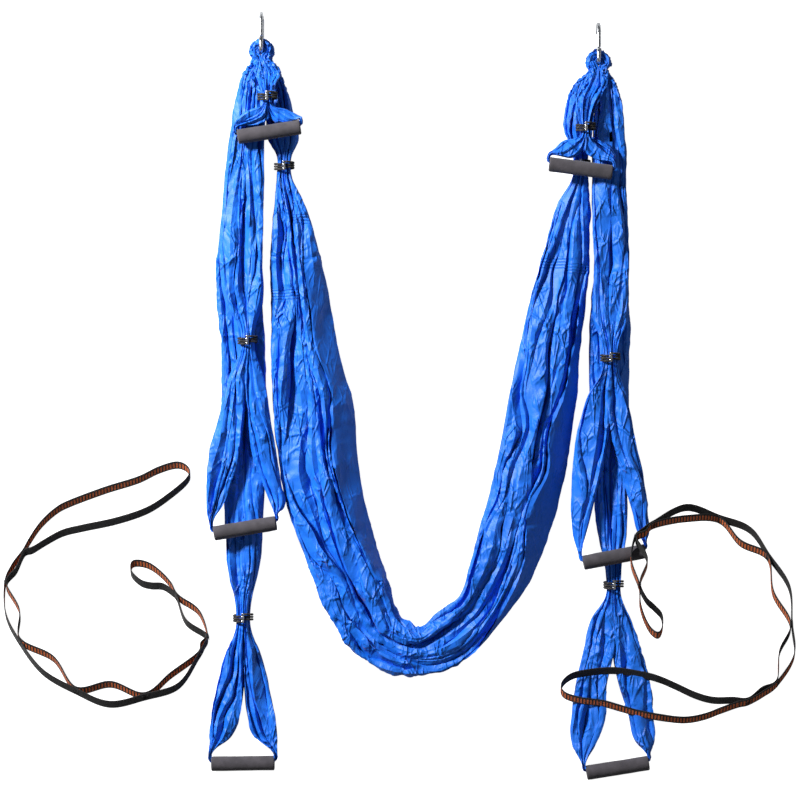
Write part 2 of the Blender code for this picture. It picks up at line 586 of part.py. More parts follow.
def carabiner(side, steel, spring_steel):
    bow = bow_place(side)
    points = wire_line(bow)
    nose = points[-1]
    pivot_z = points[0].z
    pivot_y = points[0].y - TONGUE_LENGTH / 2
    reach = WIRE_DIAMETER
    half_slot = TONGUE_THICKNESS / 2 + SLOT_CLEARANCE
    pin_hole = PIN_DIAMETER / 2 + SEAT_GAP
    frame = mesh_tube(side + "_carabiner_frame", points, WIRE_DIAMETER / 2, steel, resolution=2)
    lug_low = points[0].y - TONGUE_LENGTH - 2 * SEAT_GAP
    lug_slot = box(side + "_lug_slot", (bow.x - half_slot, lug_low, pivot_z - reach),
                   (bow.x + half_slot, points[0].y + reach, pivot_z + reach), steel)
    nose_slot = box(side + "_nose_slot", (bow.x - half_slot, nose.y - reach, nose.z - reach),
                    (bow.x + half_slot, nose.y + TONGUE_LENGTH, nose.z + reach), steel)
    hole = cylinder(side + "_pin_hole", pin_hole, (bow.x - reach, pivot_y, pivot_z),
                    (bow.x + reach, pivot_y, pivot_z), steel)
    for tool in (lug_slot, nose_slot, hole):
        boolean(frame, tool, "DIFFERENCE")
    cylinder(side + "_pivot_pin", PIN_DIAMETER / 2, (bow.x - WIRE_DIAMETER / 2, pivot_y, pivot_z),
             (bow.x + WIRE_DIAMETER / 2, pivot_y, pivot_z), spring_steel)
    body_low = points[0].y + SHOULDER_GAP
    body_high = nose.y - NOSE_GAP
    gate = cylinder(side + "_gate", GATE_DIAMETER / 2, (bow.x, body_low, pivot_z),
                    (bow.x, body_high, pivot_z), steel, sides=16)
    tongue_half = TONGUE_LENGTH / 2 - SEAT_GAP
    tongue_high = nose.y + TONGUE_LENGTH - SEAT_GAP * 2
    tongue = box(side + "_tongue", (bow.x - TONGUE_THICKNESS / 2, pivot_y, pivot_z - tongue_half),
                 (bow.x + TONGUE_THICKNESS / 2, tongue_high, pivot_z + tongue_half), steel)
    knuckle = cylinder(side + "_knuckle", tongue_half, (bow.x - TONGUE_THICKNESS / 2, pivot_y, pivot_z),
                       (bow.x + TONGUE_THICKNESS / 2, pivot_y, pivot_z), steel)
    gate_hole = cylinder(side + "_gate_hole", pin_hole, (bow.x - reach, pivot_y, pivot_z),
                         (bow.x + reach, pivot_y, pivot_z), steel)
    spring_low = pivot_y - TONGUE_LENGTH
    bore_radius = SPRING_DIAMETER / 2 + SEAT_GAP
    spring_bore = cylinder(side + "_spring_bore", bore_radius, (bow.x, spring_low, pivot_z),
                           (bow.x, body_low + SPRING_LENGTH, pivot_z), steel, sides=12)
    boolean(gate, tongue, "UNION")
    boolean(gate, knuckle, "UNION")
    boolean(gate, gate_hole, "DIFFERENCE")
    boolean(gate, spring_bore, "DIFFERENCE")
    spring_start = pivot_y + pin_hole + SEAT_GAP
    cylinder(side + "_gate_spring", SPRING_DIAMETER / 2, (bow.x, spring_start, pivot_z),
             (bow.x, body_low + SPRING_LENGTH - SEAT_GAP, pivot_z), spring_steel, sides=12)


def level_height(level):
    """Height of what the webbing lies on, between the floor, a long strap and a medium strap's grip."""
    on_strap = layer_span("medium")[0]
    on_grip = on_strap + GRIP_DIAMETER + SEAT_GAP
    if level <= 1:
        return on_strap * level
    return on_strap + (on_grip - on_strap) * (level - 1)


def raised(side, place):
    """A place of a chain's route in metres, with its height."""
    across, down, level = place
    middle = CHAIN_MIDDLES[side]
    spot = below(side, middle["shift"] + across * CHAIN_WIDTH, middle["drop"] + down * CHAIN_WIDTH)
    return Vector((spot.x, spot.y, level_height(level)))


def smooth_closed(points, steps):
    """A closed line through the points, smooth in plan and straight in height."""
    count = len(points)
    line = []
    for here in range(count):
        before, first, second, after = (points[(here + k) % count] for k in (-1, 0, 1, 2))
        for step in range(steps):
            t = step / steps
            spot = 0.5 * (2 * first + (second - before) * t
                          + (2 * before - 5 * first + 4 * second - after) * t * t
                          + (3 * first - before - 3 * second + after) * t * t * t)
            spot.z = first.z + (second.z - first.z) * t
            line.append(spot)
    return line


def chain_route(side):
    """The closed route of one belt of webbing: round the big loop, down one strand and back up the other."""
    route = CHAIN_ROUTE_SHARES[side]
    tacks = [raised(side, place) for place in route["tacks"]]
    offset = (WEB_THICKNESS + WEB_STITCH_GAP) / 2
    strands = ([], [])
    for number, spot in enumerate(tacks):
        before = tacks[max(number - 1, 0)]
        after = tacks[min(number + 1, len(tacks) - 1)]
        ahead = (after - before).normalized()
        across = Vector((-ahead.y, ahead.x, 0.0)).normalized()
        for strand, sign in zip(strands, (-1, 1)):
            strand.append(spot + across * (sign * offset))
        if number == len(tacks) - 1:
            continue
        chord = tacks[number + 1] - spot
        sideways = Vector((-chord.y, chord.x, 0.0)).normalized()
        for strand, bow in zip(strands, route["bows"][number]):
            strand.append(spot + chord / 2 + sideways * (bow * CHAIN_WIDTH))
    big = [raised(side, place) for place in route["big_loop"]]
    small = [raised(side, place) for place in route["small_loop"]]
    return big + strands[1] + small + list(reversed(strands[0]))


def daisy_chain(side, webbing):
    """A closed belt of webbing on its edge, leaning over, tacked to itself into pockets."""
    line = smooth_closed(chain_route(side), WEB_STEPS)
    lean = Vector(WEB_LEAN_SHARES) * WEB_WIDTH
    bm = bmesh.new()
    rings = []
    for here, spot in enumerate(line):
        ahead = line[(here + 1) % len(line)] - line[here - 1]
        across = Vector((-ahead.y, ahead.x, 0.0)).normalized() * (WEB_THICKNESS / 2)
        foot = spot - Vector((lean.x, lean.y, 0.0)) / 2
        rings.append([bm.verts.new(place) for place in
                      (foot - across, foot + across, foot + lean + across, foot + lean - across)])
    for here, ring in enumerate(rings):
        following = rings[(here + 1) % len(rings)]
        for k in range(4):
            after = (k + 1) % 4
            bm.faces.new((ring[k], ring[after], following[after], following[k]))
    finish_mesh(bm, side + "_daisy_chain", webbing)
    length = sum((line[k] - line[k - 1]).length for k in range(len(line)))
    print(side, "chain, webbing used, m:", round(length, 3))


clear_scene()
CLOTH = material("royal_blue_cloth", (0.012, 0.115, 0.74), 0.55)
FOAM = material("charcoal_foam", (0.055, 0.05, 0.055), 0.9)
PLASTIC = material("grey_tube", (0.3, 0.3, 0.3), 0.5)
ELASTIC = material("black_elastic", (0.02, 0.02, 0.022), 0.7)
STEEL = material("zinc_steel", (0.6, 0.62, 0.64), 0.3, 1.0)
WEBBING = material("black_webbing", (0.02, 0.018, 0.018), 0.8)

swing(CLOTH)
gaps = []
for side_name, swing_tie in SWING_TIES.items():
    carabiner(side_name, STEEL, STEEL)
    daisy_chain(side_name, WEBBING)
    neck = below(side_name, swing_tie["shift"], swing_tie["drop"])
    gaps.append(tie_and_crimp(side_name + "_swing", neck, 0.0, ELASTIC, STEEL))
for strap_name, strap_sizes in STRAPS.items():
    side_name, strap_cut = strap_name.split("_")
    strap(strap_name, CLOTH)
    grip(strap_name, FOAM, PLASTIC)
    neck = below(side_name, strap_sizes["tie_shift"], strap_sizes["tie_drop"])
    gaps.append(tie_and_crimp(strap_name, neck, layer_span(strap_cut)[0], ELASTIC, STEEL))
print("least gap of a tie to itself, mm:", round(min(gaps) * 1000, 2))
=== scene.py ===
# %% [markdown]
# An aerial hammock set lies flat on a pale floor and is seen from straight above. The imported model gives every
# solid its place. This script dresses it: gathered cloth, foam grips, elastic ties, bent wire and ribbed webbing.

# %% The frame
import math

import bmesh
import bpy
import numpy as np
from mathutils import Matrix, Vector, noise


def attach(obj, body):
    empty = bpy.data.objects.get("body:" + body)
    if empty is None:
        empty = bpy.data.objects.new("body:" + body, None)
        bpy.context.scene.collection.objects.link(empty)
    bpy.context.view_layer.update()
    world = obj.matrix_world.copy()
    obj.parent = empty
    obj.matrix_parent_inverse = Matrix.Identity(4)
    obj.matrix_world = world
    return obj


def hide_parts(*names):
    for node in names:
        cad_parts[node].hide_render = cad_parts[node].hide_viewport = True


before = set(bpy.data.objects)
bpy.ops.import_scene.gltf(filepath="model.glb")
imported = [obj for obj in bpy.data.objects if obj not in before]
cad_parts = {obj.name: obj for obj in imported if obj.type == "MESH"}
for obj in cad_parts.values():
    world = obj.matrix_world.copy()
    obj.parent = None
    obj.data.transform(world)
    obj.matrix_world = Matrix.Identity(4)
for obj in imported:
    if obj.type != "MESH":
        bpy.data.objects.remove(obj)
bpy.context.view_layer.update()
print("solids in the frame:", len(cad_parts))

# %% [markdown]
# Small helpers come first. Colours are written as a designer reads them off a screen and turned into the linear
# values that the renderer adds up. One function adds a node to a material, with its settings and its links.


# %% Helpers for colours and nodes
def srgb(code):
    """A colour such as 1F5FDE as linear red, green, blue and alpha."""
    values = [int(code[k:k + 2], 16) / 255 for k in (0, 2, 4)]
    return tuple(v / 12.92 if v <= 0.04045 else ((v + 0.055) / 1.055) ** 2.4 for v in values) + (1.0,)


def feed(tree, node, **links):
    """Fills a node's sockets, each with a value, another socket or another node, which gives its first output."""
    for name, value in links.items():
        socket = node.inputs[int(name[1:])] if name[0] == "_" else node.inputs[name.replace("_", " ")]
        if isinstance(value, bpy.types.Node):
            value = value.outputs[0]
        if isinstance(value, bpy.types.NodeSocket):
            tree.links.new(value, socket)
        else:
            socket.default_value = value


def add(tree, kind, settings=None, **links):
    """Adds one node: settings are its own options, links fill its sockets."""
    made = tree.nodes.new(kind)
    for name, value in (settings or {}).items():
        setattr(made, name, value)
    feed(tree, made, **links)
    return made


def ramp(tree, value, stops):
    """A colour ramp with its stops written as (place, colour code)."""
    made = add(tree, "ShaderNodeValToRGB", Fac=value)
    while len(made.color_ramp.elements) < len(stops):
        made.color_ramp.elements.new(1.0)
    for element, (place, code) in zip(made.color_ramp.elements, stops):
        element.position = place
        element.color = srgb(code)
    return made


def new_material(name, **shader_values):
    """A material whose main shader takes the given values, such as Roughness or Base_Color."""
    made = bpy.data.materials.new(name)
    made.use_nodes = True
    tree = made.node_tree
    shader = tree.nodes["Principled BSDF"]
    feed(tree, shader, **shader_values)
    return made, tree, shader


def clouded(tree, shader, place, scale, dark, light, detail=2.0):
    """Lets the colour drift between two codes in soft clouds, and returns the clouds."""
    clouds = add(tree, "ShaderNodeTexNoise", Vector=place, Scale=scale, Detail=detail)
    feed(tree, shader, Base_Color=ramp(tree, clouds, [(0.3, dark), (0.7, light)]))
    return clouds


# %% [markdown]
# Every piece ends the same way: its mesh becomes a named object at the origin, and is told which body it goes
# with and which solid it stands for.


# %% Helpers for pieces
def finish_object(bm, name, finish, outward=True, sharp=None):
    """A bmesh as a named object; edges that bend by more than sharp stay crisp."""
    if outward:
        bmesh.ops.recalc_face_normals(bm, faces=bm.faces)
    mesh = bpy.data.meshes.new(name)
    bm.to_mesh(mesh)
    bm.free()
    mesh.shade_smooth()
    if sharp:
        mesh.set_sharp_from_angle(angle=sharp)
    mesh.materials.append(finish)
    made = bpy.data.objects.new(name, mesh)
    bpy.context.scene.collection.objects.link(made)
    return made


def settle(made, body, node):
    """The piece goes with its body and stands for its solid, if it has one."""
    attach(made, body)
    if node:
        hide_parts(node)


# %% [markdown]
# The camera hangs straight above the floor. The photograph is square and shows 1.6 m, and a long lens far away
# keeps the straps' edges upright.

# %% Camera
PHOTO_WIDTH = 1.6
CAMERA_HEIGHT = 6.0
SENSOR_MM = 36.0
VIEW_CENTRE = (0.001, -0.0078)

eye = bpy.data.cameras.new("camera")
eye.sensor_width = SENSOR_MM
eye.lens = SENSOR_MM * CAMERA_HEIGHT / PHOTO_WIDTH
camera = bpy.data.objects.new("camera", eye)
camera.location = (*VIEW_CENTRE, CAMERA_HEIGHT)
bpy.context.scene.collection.objects.link(camera)
bpy.context.scene.camera = camera
bpy.context.scene.view_settings.view_transform = "Standard"

# %% [markdown]
# A large soft lamp stands at the upper left, as the lit sides of the pleats show, and the sky fills the shade.
# The floor glows white to the camera alone: it shows no shadow there, as in the photograph, and throws no more
# light on the cloth than a grey sheet does.

# %% Light and floor
FLOOR_SIZE = 30.0
FLOOR_DROP = 0.0006
FLOOR_GLOW = 0.97
SKY_STRENGTH = 0.12


def lamp(name, place, target, size, power):
    """A round soft lamp that looks at its target; metres and watts."""
    light = bpy.data.lights.new(name, "AREA")
    light.shape = "DISK"
    light.size = size
    light.energy = power
    made = bpy.data.objects.new(name, light)
    made.location = place
    made.rotation_euler = (Vector(target) - Vector(place)).to_track_quat("-Z", "Y").to_euler()
    bpy.context.scene.collection.objects.link(made)


lamp("key_lamp", place=(-2.6, 1.9, 2.1), target=(0.0, -0.1, 0.0), size=0.7, power=350.0)
lamp("fill_lamp", place=(2.6, -0.6, 2.6), target=(0.0, 0.0, 0.0), size=2.4, power=10.0)

world = bpy.data.worlds.new("studio")
world.use_nodes = True
feed(world.node_tree, world.node_tree.nodes["Background"], Color=srgb("F4F6FA"), Strength=SKY_STRENGTH)
bpy.context.scene.world = world

# Matt uncoated paper: it gives the eye plain white and no gloss
floor_finish, floor_tree, floor_shader = new_material("floor_paper", Roughness=0.9, Base_Color=srgb("B4B4B4"))
seen = add(floor_tree, "ShaderNodeLightPath")
white = add(floor_tree, "ShaderNodeEmission", Color=srgb("FFFFFF"), Strength=FLOOR_GLOW)
both = add(floor_tree, "ShaderNodeAddShader", _0=floor_shader, _1=white)
pick = add(floor_tree, "ShaderNodeMixShader", Fac=seen.outputs["Is Camera Ray"],
           _1=floor_shader, _2=both)
feed(floor_tree, floor_tree.nodes["Material Output"], Surface=pick)

bm = bmesh.new()
bmesh.ops.create_grid(bm, x_segments=1, y_segments=1, size=FLOOR_SIZE / 2)
floor = finish_object(bm, "floor", floor_finish, outward=False)
floor.location.z = -FLOOR_DROP
print("camera and lights are up")

# %% [markdown]
# The layout repeats the places that the solids were built from, in metres and in shares of a few sizes, so that
# each dressed piece lies where its solid is.

# %% Layout
# Where the left carabiner's lower bow lies, then how far the right one lies from it
LEFT_BOW = Vector((-0.27496, 0.68623))
SPAN_WIDTH = 0.671
RIGHT_BOW_DROP = 0.022
SWING_LENGTH = 1.238
SEAT_GAP = 0.0003
WIRE_DIAMETER = 0.0085
CARABINER_LENGTH = 0.084
CARABINER_WIDTH = 0.046
EYE_ORDER = ["swing", "long", "medium", "short"]
EYE_THICKNESS = 0.018
EYE_HEIGHT = 0.0067
EYE_GAP = 0.0004
EYE_CLEARANCE = 0.0012
THROAT_DROP = 0.012
LAYER_THICKNESS = {"long": 0.022, "medium": 0.0195, "short": 0.018}
STRAP_WIDTH = 0.080
NECK_WIDTH = 0.030
NECK_HEIGHT = 0.016
NECK_LENGTH = 0.044
TIE_CORD = 0.0042
TIE_PITCH = 0.0050
TIE_TURNS = 3
TIE_FIT = 0.0015
GRIP_LENGTH = 0.126
GRIP_DIAMETER = 0.029
GRIP_TUBE_DIAMETER = 0.020
GRIP_BORE = 0.016
GRIP_APPROACH = 0.002
CLOTH_AT_GRIP = 0.0056
CLOTH_BULGE_AT_GRIP = 0.009
CLOTH_IN_GRIP = 0.006
WEB_STITCH_GAP = 0.0006
WEB_LEAN_SHARES = (0.0, 0.8, 0.6)
WEB_THICKNESS = 0.0022
WEB_WIDTH = 0.018
CRIMP_HEIGHT = 0.005
CRIMP_LENGTH = 0.009
TIE_CORNER_SHARE = 0.62
PIN_DIAMETER = 0.003
SLOT_CLEARANCE = 0.0003
TOP_BOW_SWEEP_DEG = 172
SHOULDER_GAP = 0.0023
NOSE_GAP = 0.0013
TONGUE_LENGTH = 0.006
TONGUE_THICKNESS = 0.004
GATE_DIAMETER = 0.0078
GATE_START = 0.027
BOTTOM_CORNER_RADIUS = 0.008
STRAPS = {
    "left_long": {"tie_shift": -0.037, "tie_drop": 1.128, "grip_shift": -0.0375, "grip_drop": 1.419},
    "left_medium": {"tie_shift": -0.027, "tie_drop": 0.575, "grip_shift": -0.032, "grip_drop": 0.949},
    "left_short": {"tie_shift": 0.013, "tie_drop": 0.092, "grip_shift": 0.0165, "grip_drop": 0.163},
    "right_long": {"tie_shift": 0.031, "tie_drop": 1.040, "grip_shift": 0.039, "grip_drop": 1.406},
    "right_medium": {"tie_shift": 0.023, "tie_drop": 0.587, "grip_shift": 0.031, "grip_drop": 0.984},
    "right_short": {"tie_shift": -0.027, "tie_drop": 0.131, "grip_shift": -0.037, "grip_drop": 0.213},
}
GRIP_TURN_DEG = {
    "left_long": 0.9, "left_medium": 9.5, "left_short": 8.9,
    "right_long": 9.2, "right_medium": 10.8, "right_short": -7.6,
}
SWING_TIES = {"left": {"shift": 0.045, "drop": 0.227}, "right": {"shift": -0.035, "drop": 0.202}}


def bow_place(side):
    """The middle of a carabiner's bottom bow on the table."""
    return LEFT_BOW if side == "left" else LEFT_BOW + Vector((SPAN_WIDTH, -RIGHT_BOW_DROP))


def below(side, shift, drop):
    """A place sideways and down from a carabiner's bow."""
    return bow_place(side) + Vector((shift, -drop))


def eye_slot(cloth):
    """Bottom and top of one cloth's eye in the stack of four on the carabiner's bow."""
    bottom = WIRE_DIAMETER + EYE_GAP + EYE_ORDER.index(cloth) * (EYE_HEIGHT + EYE_GAP)
    return bottom, bottom + EYE_HEIGHT


def layer_span(cut):
    """Bottom and top of a strap that lies on the floor or on the strap below it."""
    bottom = 0.0
    for below_it, thickness in LAYER_THICKNESS.items():
        if below_it == cut:
            return bottom, bottom + thickness
        bottom += thickness + SEAT_GAP


def neck_span(bottom):
    """A neck is held up by the cord of the tie that passes under it."""
    low = bottom + TIE_CORD + TIE_FIT + SEAT_GAP
    return low, low + NECK_HEIGHT


def grip_frame(name):
    """Centre of a grip, the unit vector along it and the one across it towards the carabiner."""
    side, _ = name.split("_")
    turn = math.radians(GRIP_TURN_DEG[name])
    along = Vector((math.cos(turn), math.sin(turn)))
    centre = below(side, STRAPS[name]["grip_shift"], STRAPS[name]["grip_drop"])
    return centre, along, Vector((-along.y, along.x))


# %% [markdown]
# Every cloth of the set is one sheet gathered lengthwise, doubled over the carabiner's wire and laid flat. Its two
# halves lie side by side. The rows below give each half's edges from the carabiner down, as the solids have them.
# A smooth curve is passed through the rows, so that the cloth has no corners where the solid's rows meet.

# %% Rows of the cloths
HALF_GAP = 0.0006
INSIDE_GRIP_SHARES = (0.4, 0.33, 0.1)

# Strap rows: above the tie the share of the way down and the left and right edges in strap widths, then below the
# tie the share, the left edge, the two inner edges of the legs and the right edge in grip lengths
STRAP_ROW_SHARES = {
    "left_long": (
        [(0.03, -0.46, -0.01), (0.06, -0.57, 0.11), (0.14, -0.73, 0.12), (0.26, -0.85, 0.15),
         (0.41, -0.93, 0.19), (0.52, -0.76, 0.31), (0.64, -0.71, 0.39), (0.81, -0.56, 0.42),
         (0.94, -0.4, 0.33)],
        [(0.21, -0.29, 0.0, 0.01, 0.28), (0.49, -0.43, -0.01, 0.03, 0.42),
         (0.67, -0.5, -0.07, 0.07, 0.49), (0.85, -0.52, -0.23, 0.19, 0.53)]),
    "left_medium": (
        [(0.06, -0.42, 0.03), (0.13, -0.53, 0.15), (0.28, -0.68, 0.17), (0.52, -0.75, 0.22),
         (0.74, -0.78, 0.27), (0.91, -0.55, 0.32)],
        [(0.14, -0.27, -0.02, -0.01, 0.25), (0.36, -0.42, -0.04, 0.01, 0.36),
         (0.62, -0.59, -0.14, 0.11, 0.48), (0.8, -0.61, -0.28, 0.29, 0.56),
         (0.92, -0.62, -0.4, 0.42, 0.61)]),
    "left_short": (
        [(0.55, -0.23, 0.4)],
        [(0.37, -0.28, -0.03, 0.03, 0.31), (0.74, -0.44, -0.18, 0.2, 0.5)]),
    "right_long": (
        [(0.03, -0.04, 0.42), (0.07, -0.09, 0.53), (0.15, -0.2, 0.58), (0.26, -0.24, 0.56),
         (0.4, -0.24, 0.58), (0.54, -0.42, 0.58), (0.66, -0.44, 0.51), (0.8, -0.42, 0.43),
         (0.92, -0.34, 0.36)],
        [(0.15, -0.36, -0.03, -0.02, 0.27), (0.35, -0.5, -0.06, -0.02, 0.42),
         (0.53, -0.62, -0.15, 0.06, 0.54), (0.73, -0.7, -0.19, 0.21, 0.58),
         (0.91, -0.71, -0.36, 0.34, 0.58)]),
    "right_medium": (
        [(0.06, -0.03, 0.43), (0.12, -0.09, 0.52), (0.27, -0.19, 0.58), (0.47, -0.27, 0.55),
         (0.72, -0.29, 0.54), (0.92, -0.34, 0.41)],
        [(0.15, -0.35, -0.03, -0.02, 0.24), (0.38, -0.55, -0.07, 0.02, 0.36),
         (0.61, -0.64, -0.21, 0.18, 0.5), (0.8, -0.66, -0.35, 0.32, 0.54),
         (0.92, -0.64, -0.44, 0.4, 0.56)]),
    "right_short": (
        [(0.33, -0.25, 0.33), (0.66, -0.37, 0.21)],
        [(0.3, -0.28, -0.01, 0.05, 0.27), (0.67, -0.44, -0.16, 0.21, 0.46)]),
}
LEG_LEAD = {"long": 0.0, "medium": 0.0, "short": 0.2}

# Swing rows from the left eye to the right one: outer edge across the span and down, inner edge across
# and down, then the height as a share of the swing's thickness
SWING_THICKNESS = 0.050
SWING_ROW_SHARES = [
    (0.003, 0.036, 0.057, 0.036, 0.0), (0.018, 0.065, 0.077, 0.065, 0.5),
    (0.014, 0.1, 0.094, 0.1, 0.56), (0.022, 0.143, 0.108, 0.143, 0.6), (0.039, 0.246, 0.128, 0.246, 0.62),
    (0.027, 0.328, 0.173, 0.328, 0.72), (0.027, 0.415, 0.206, 0.412, 0.78),
    (0.03, 0.496, 0.232, 0.491, 0.84), (0.036, 0.577, 0.271, 0.569, 0.9),
    (0.051, 0.649, 0.283, 0.64, 0.94), (0.077, 0.73, 0.301, 0.714, 0.96),
    (0.131, 0.816, 0.331, 0.779, 0.98), (0.212, 0.913, 0.376, 0.858, 1.0),
    (0.319, 0.981, 0.405, 0.916, 1.0), (0.474, 1.0, 0.468, 0.931, 1.0), (0.596, 0.981, 0.522, 0.906, 1.0),
    (0.706, 0.922, 0.593, 0.874, 1.0), (0.793, 0.855, 0.617, 0.83, 0.98),
    (0.849, 0.785, 0.65, 0.764, 0.96), (0.888, 0.716, 0.68, 0.706, 0.94), (0.915, 0.64, 0.709, 0.635, 0.9),
    (0.936, 0.561, 0.736, 0.557, 0.84), (0.945, 0.48, 0.765, 0.48, 0.78), (0.966, 0.399, 0.8, 0.399, 0.72),
    (0.973, 0.318, 0.842, 0.318, 0.66), (0.975, 0.246, 0.881, 0.246, 0.6),
    (0.982, 0.12, 0.9, 0.12, 0.56), (0.988, 0.082, 0.907, 0.082, 0.5), (0.994, 0.053, 0.926, 0.053, 0.0),
]
ROWS_BEFORE_NECK = {"left": 4, "right": 26}


def half_ring(side, cloth, start_deg, end_deg):
    """The cloth's turn round the wire: inner edge, outer edge, bottom and top of each row."""
    centre, span = bow_place(side), eye_slot(cloth)
    inner = WIRE_DIAMETER / 2 + EYE_CLEARANCE
    rows = []
    for step in range(5):
        angle = math.radians(start_deg + (end_deg - start_deg) * step / 4)
        away = Vector((math.cos(angle), math.sin(angle)))
        rows.append((centre + away * inner, centre + away * (inner + EYE_THICKNESS), *span))
    return rows


def throat_row(side, cloth, sign):
    """The cloth just below the wire, on one side of it."""
    spot, across = below(side, 0.0, THROAT_DROP * 0.8), Vector((sign, 0.0))
    inner = HALF_GAP
    return (spot + across * inner, spot + across * (inner + EYE_THICKNESS), *eye_slot(cloth))


def neck_rows(centre, along, bottom):
    """Places of a neck above and below its tie, with its half width, bottom and top."""
    low, high = neck_span(bottom)
    return [(centre + along * (NECK_LENGTH * end), NECK_WIDTH / 2, low, high) for end in (-0.5, 0.5)]


def grip_rows(name, sign):
    """The cloth's tight turn from beside the grip's end into its bore."""
    centre, along, up = grip_frame(name)
    height = layer_span(name.split("_")[1])[0] + GRIP_DIAMETER / 2
    end = centre + along * (sign * GRIP_LENGTH / 2)
    rim = end + up * (GRIP_BORE / 2)
    beside = end + up * (GRIP_DIAMETER / 2 + GRIP_APPROACH) + along * (sign * SEAT_GAP)
    rows = [(beside, beside + along * (sign * CLOTH_AT_GRIP), height - CLOTH_BULGE_AT_GRIP,
             height + CLOTH_BULGE_AT_GRIP)]
    for degrees, spread in zip((0, 45, 90), (CLOTH_BULGE_AT_GRIP, CLOTH_IN_GRIP, CLOTH_IN_GRIP * 0.6)):
        angle = math.radians(degrees)
        away = along * (sign * math.cos(angle)) - up * math.sin(angle)
        inner = rim + away * SEAT_GAP
        rows.append((inner, inner + away * CLOTH_AT_GRIP, height - spread, height + spread))
    for share in INSIDE_GRIP_SHARES:
        inside = centre + along * (sign * GRIP_LENGTH * share)
        rows.append((inside + up * CLOTH_IN_GRIP, inside - up * CLOTH_IN_GRIP,
                     height - CLOTH_IN_GRIP, height + CLOTH_IN_GRIP))
    return rows


def strap_half(name, sign):
    """Rows of one half of a strap, from under its eye to the middle of its grip."""
    side, cut = name.split("_")
    low, high = layer_span(cut)
    bow = bow_place(side)
    tie = below(side, STRAPS[name]["tie_shift"], STRAPS[name]["tie_drop"])
    centre = grip_frame(name)[0]
    gap = Vector((sign * HALF_GAP / 2, 0.0))
    trunk_rows, leg_rows = STRAP_ROW_SHARES[name]
    rows = [throat_row(side, cut, sign)]
    to_tie = (tie - bow) / (bow.y - tie.y)
    throat, neck_top = bow + to_tie * THROAT_DROP, tie - to_tie * (NECK_LENGTH / 2)
    for number, (share, left, right) in enumerate(trunk_rows):
        spot = throat.lerp(neck_top, share)
        middle = spot + Vector(((left + right) / 2 * STRAP_WIDTH, 0.0))
        edge = spot + Vector(((right if sign > 0 else left) * STRAP_WIDTH, 0.0))
        rows.append((middle + gap, edge, *(eye_slot(cut) if number == 0 else (low, high))))
    for spot, half, bottom, top in neck_rows(tie, Vector((0.0, -1.0)), low):
        rows.append((spot + gap, spot + Vector((sign * half, 0.0)), bottom, top))
    to_grip = (centre - tie) / (tie.y - centre.y)
    neck_bottom = tie + to_grip * (NECK_LENGTH / 2)
    beside = centre - to_grip * (GRIP_DIAMETER / 2 + GRIP_APPROACH)
    for share, left, inner_left, inner_right, right in leg_rows:
        inner, outer = (inner_right, right) if sign > 0 else (inner_left, left)
        later, sooner = (neck_bottom.lerp(beside, share + way * LEG_LEAD[cut]) for way in (1, -1))
        rows.append((later + Vector((inner * GRIP_LENGTH, 0.0)), sooner + Vector((outer * GRIP_LENGTH, 0.0)),
                     low, high))
    return rows + grip_rows(name, sign)


def strap_rows(name):
    """Rows of a whole strap: round the wire, down one half and up the other."""
    side, cut = name.split("_")
    return half_ring(side, cut, 180, 0) + strap_half(name, 1) + list(reversed(strap_half(name, -1)))


def swing_rows():
    """Rows of the swing's outer half from left to right, then of its inner half on the way back."""
    spans = []
    for number, (outer_x, outer_y, inner_x, inner_y, share) in enumerate(SWING_ROW_SHARES):
        for side, heading in (("left", -1), ("right", 1)):
            if number != ROWS_BEFORE_NECK[side]:
                continue
            tie = below(side, SWING_TIES[side]["shift"], SWING_TIES[side]["drop"])
            outward = Vector((heading, 0.0))
            for spot, half, low, high in neck_rows(tie, Vector((0.0, heading)), 0.0):
                spans.append((spot + outward * half, spot - outward * half, low, high))
        at_wire = number in (0, len(SWING_ROW_SHARES) - 1)
        span = eye_slot("swing") if at_wire else (0.0, SWING_THICKNESS * share)
        spans.append((below("left", SPAN_WIDTH * outer_x, SWING_LENGTH * outer_y),
                      below("left", SPAN_WIDTH * inner_x, SWING_LENGTH * inner_y), *span))
    outer_half, inner_half = [], []
    for outer, inner, bottom, top in spans:
        middle, away = (outer + inner) / 2, (outer - inner).normalized() * (HALF_GAP / 2)
        outer_half.append((middle + away, outer, bottom, top))
        inner_half.append((middle - away, inner, bottom, top))
    return (outer_half + [throat_row("right", "swing", 1)] + half_ring("right", "swing", 0, 180)
            + [throat_row("right", "swing", -1)] + list(reversed(inner_half))
            + [throat_row("left", "swing", 1)] + half_ring("left", "swing", 0, 180)
            + [throat_row("left", "swing", -1)])


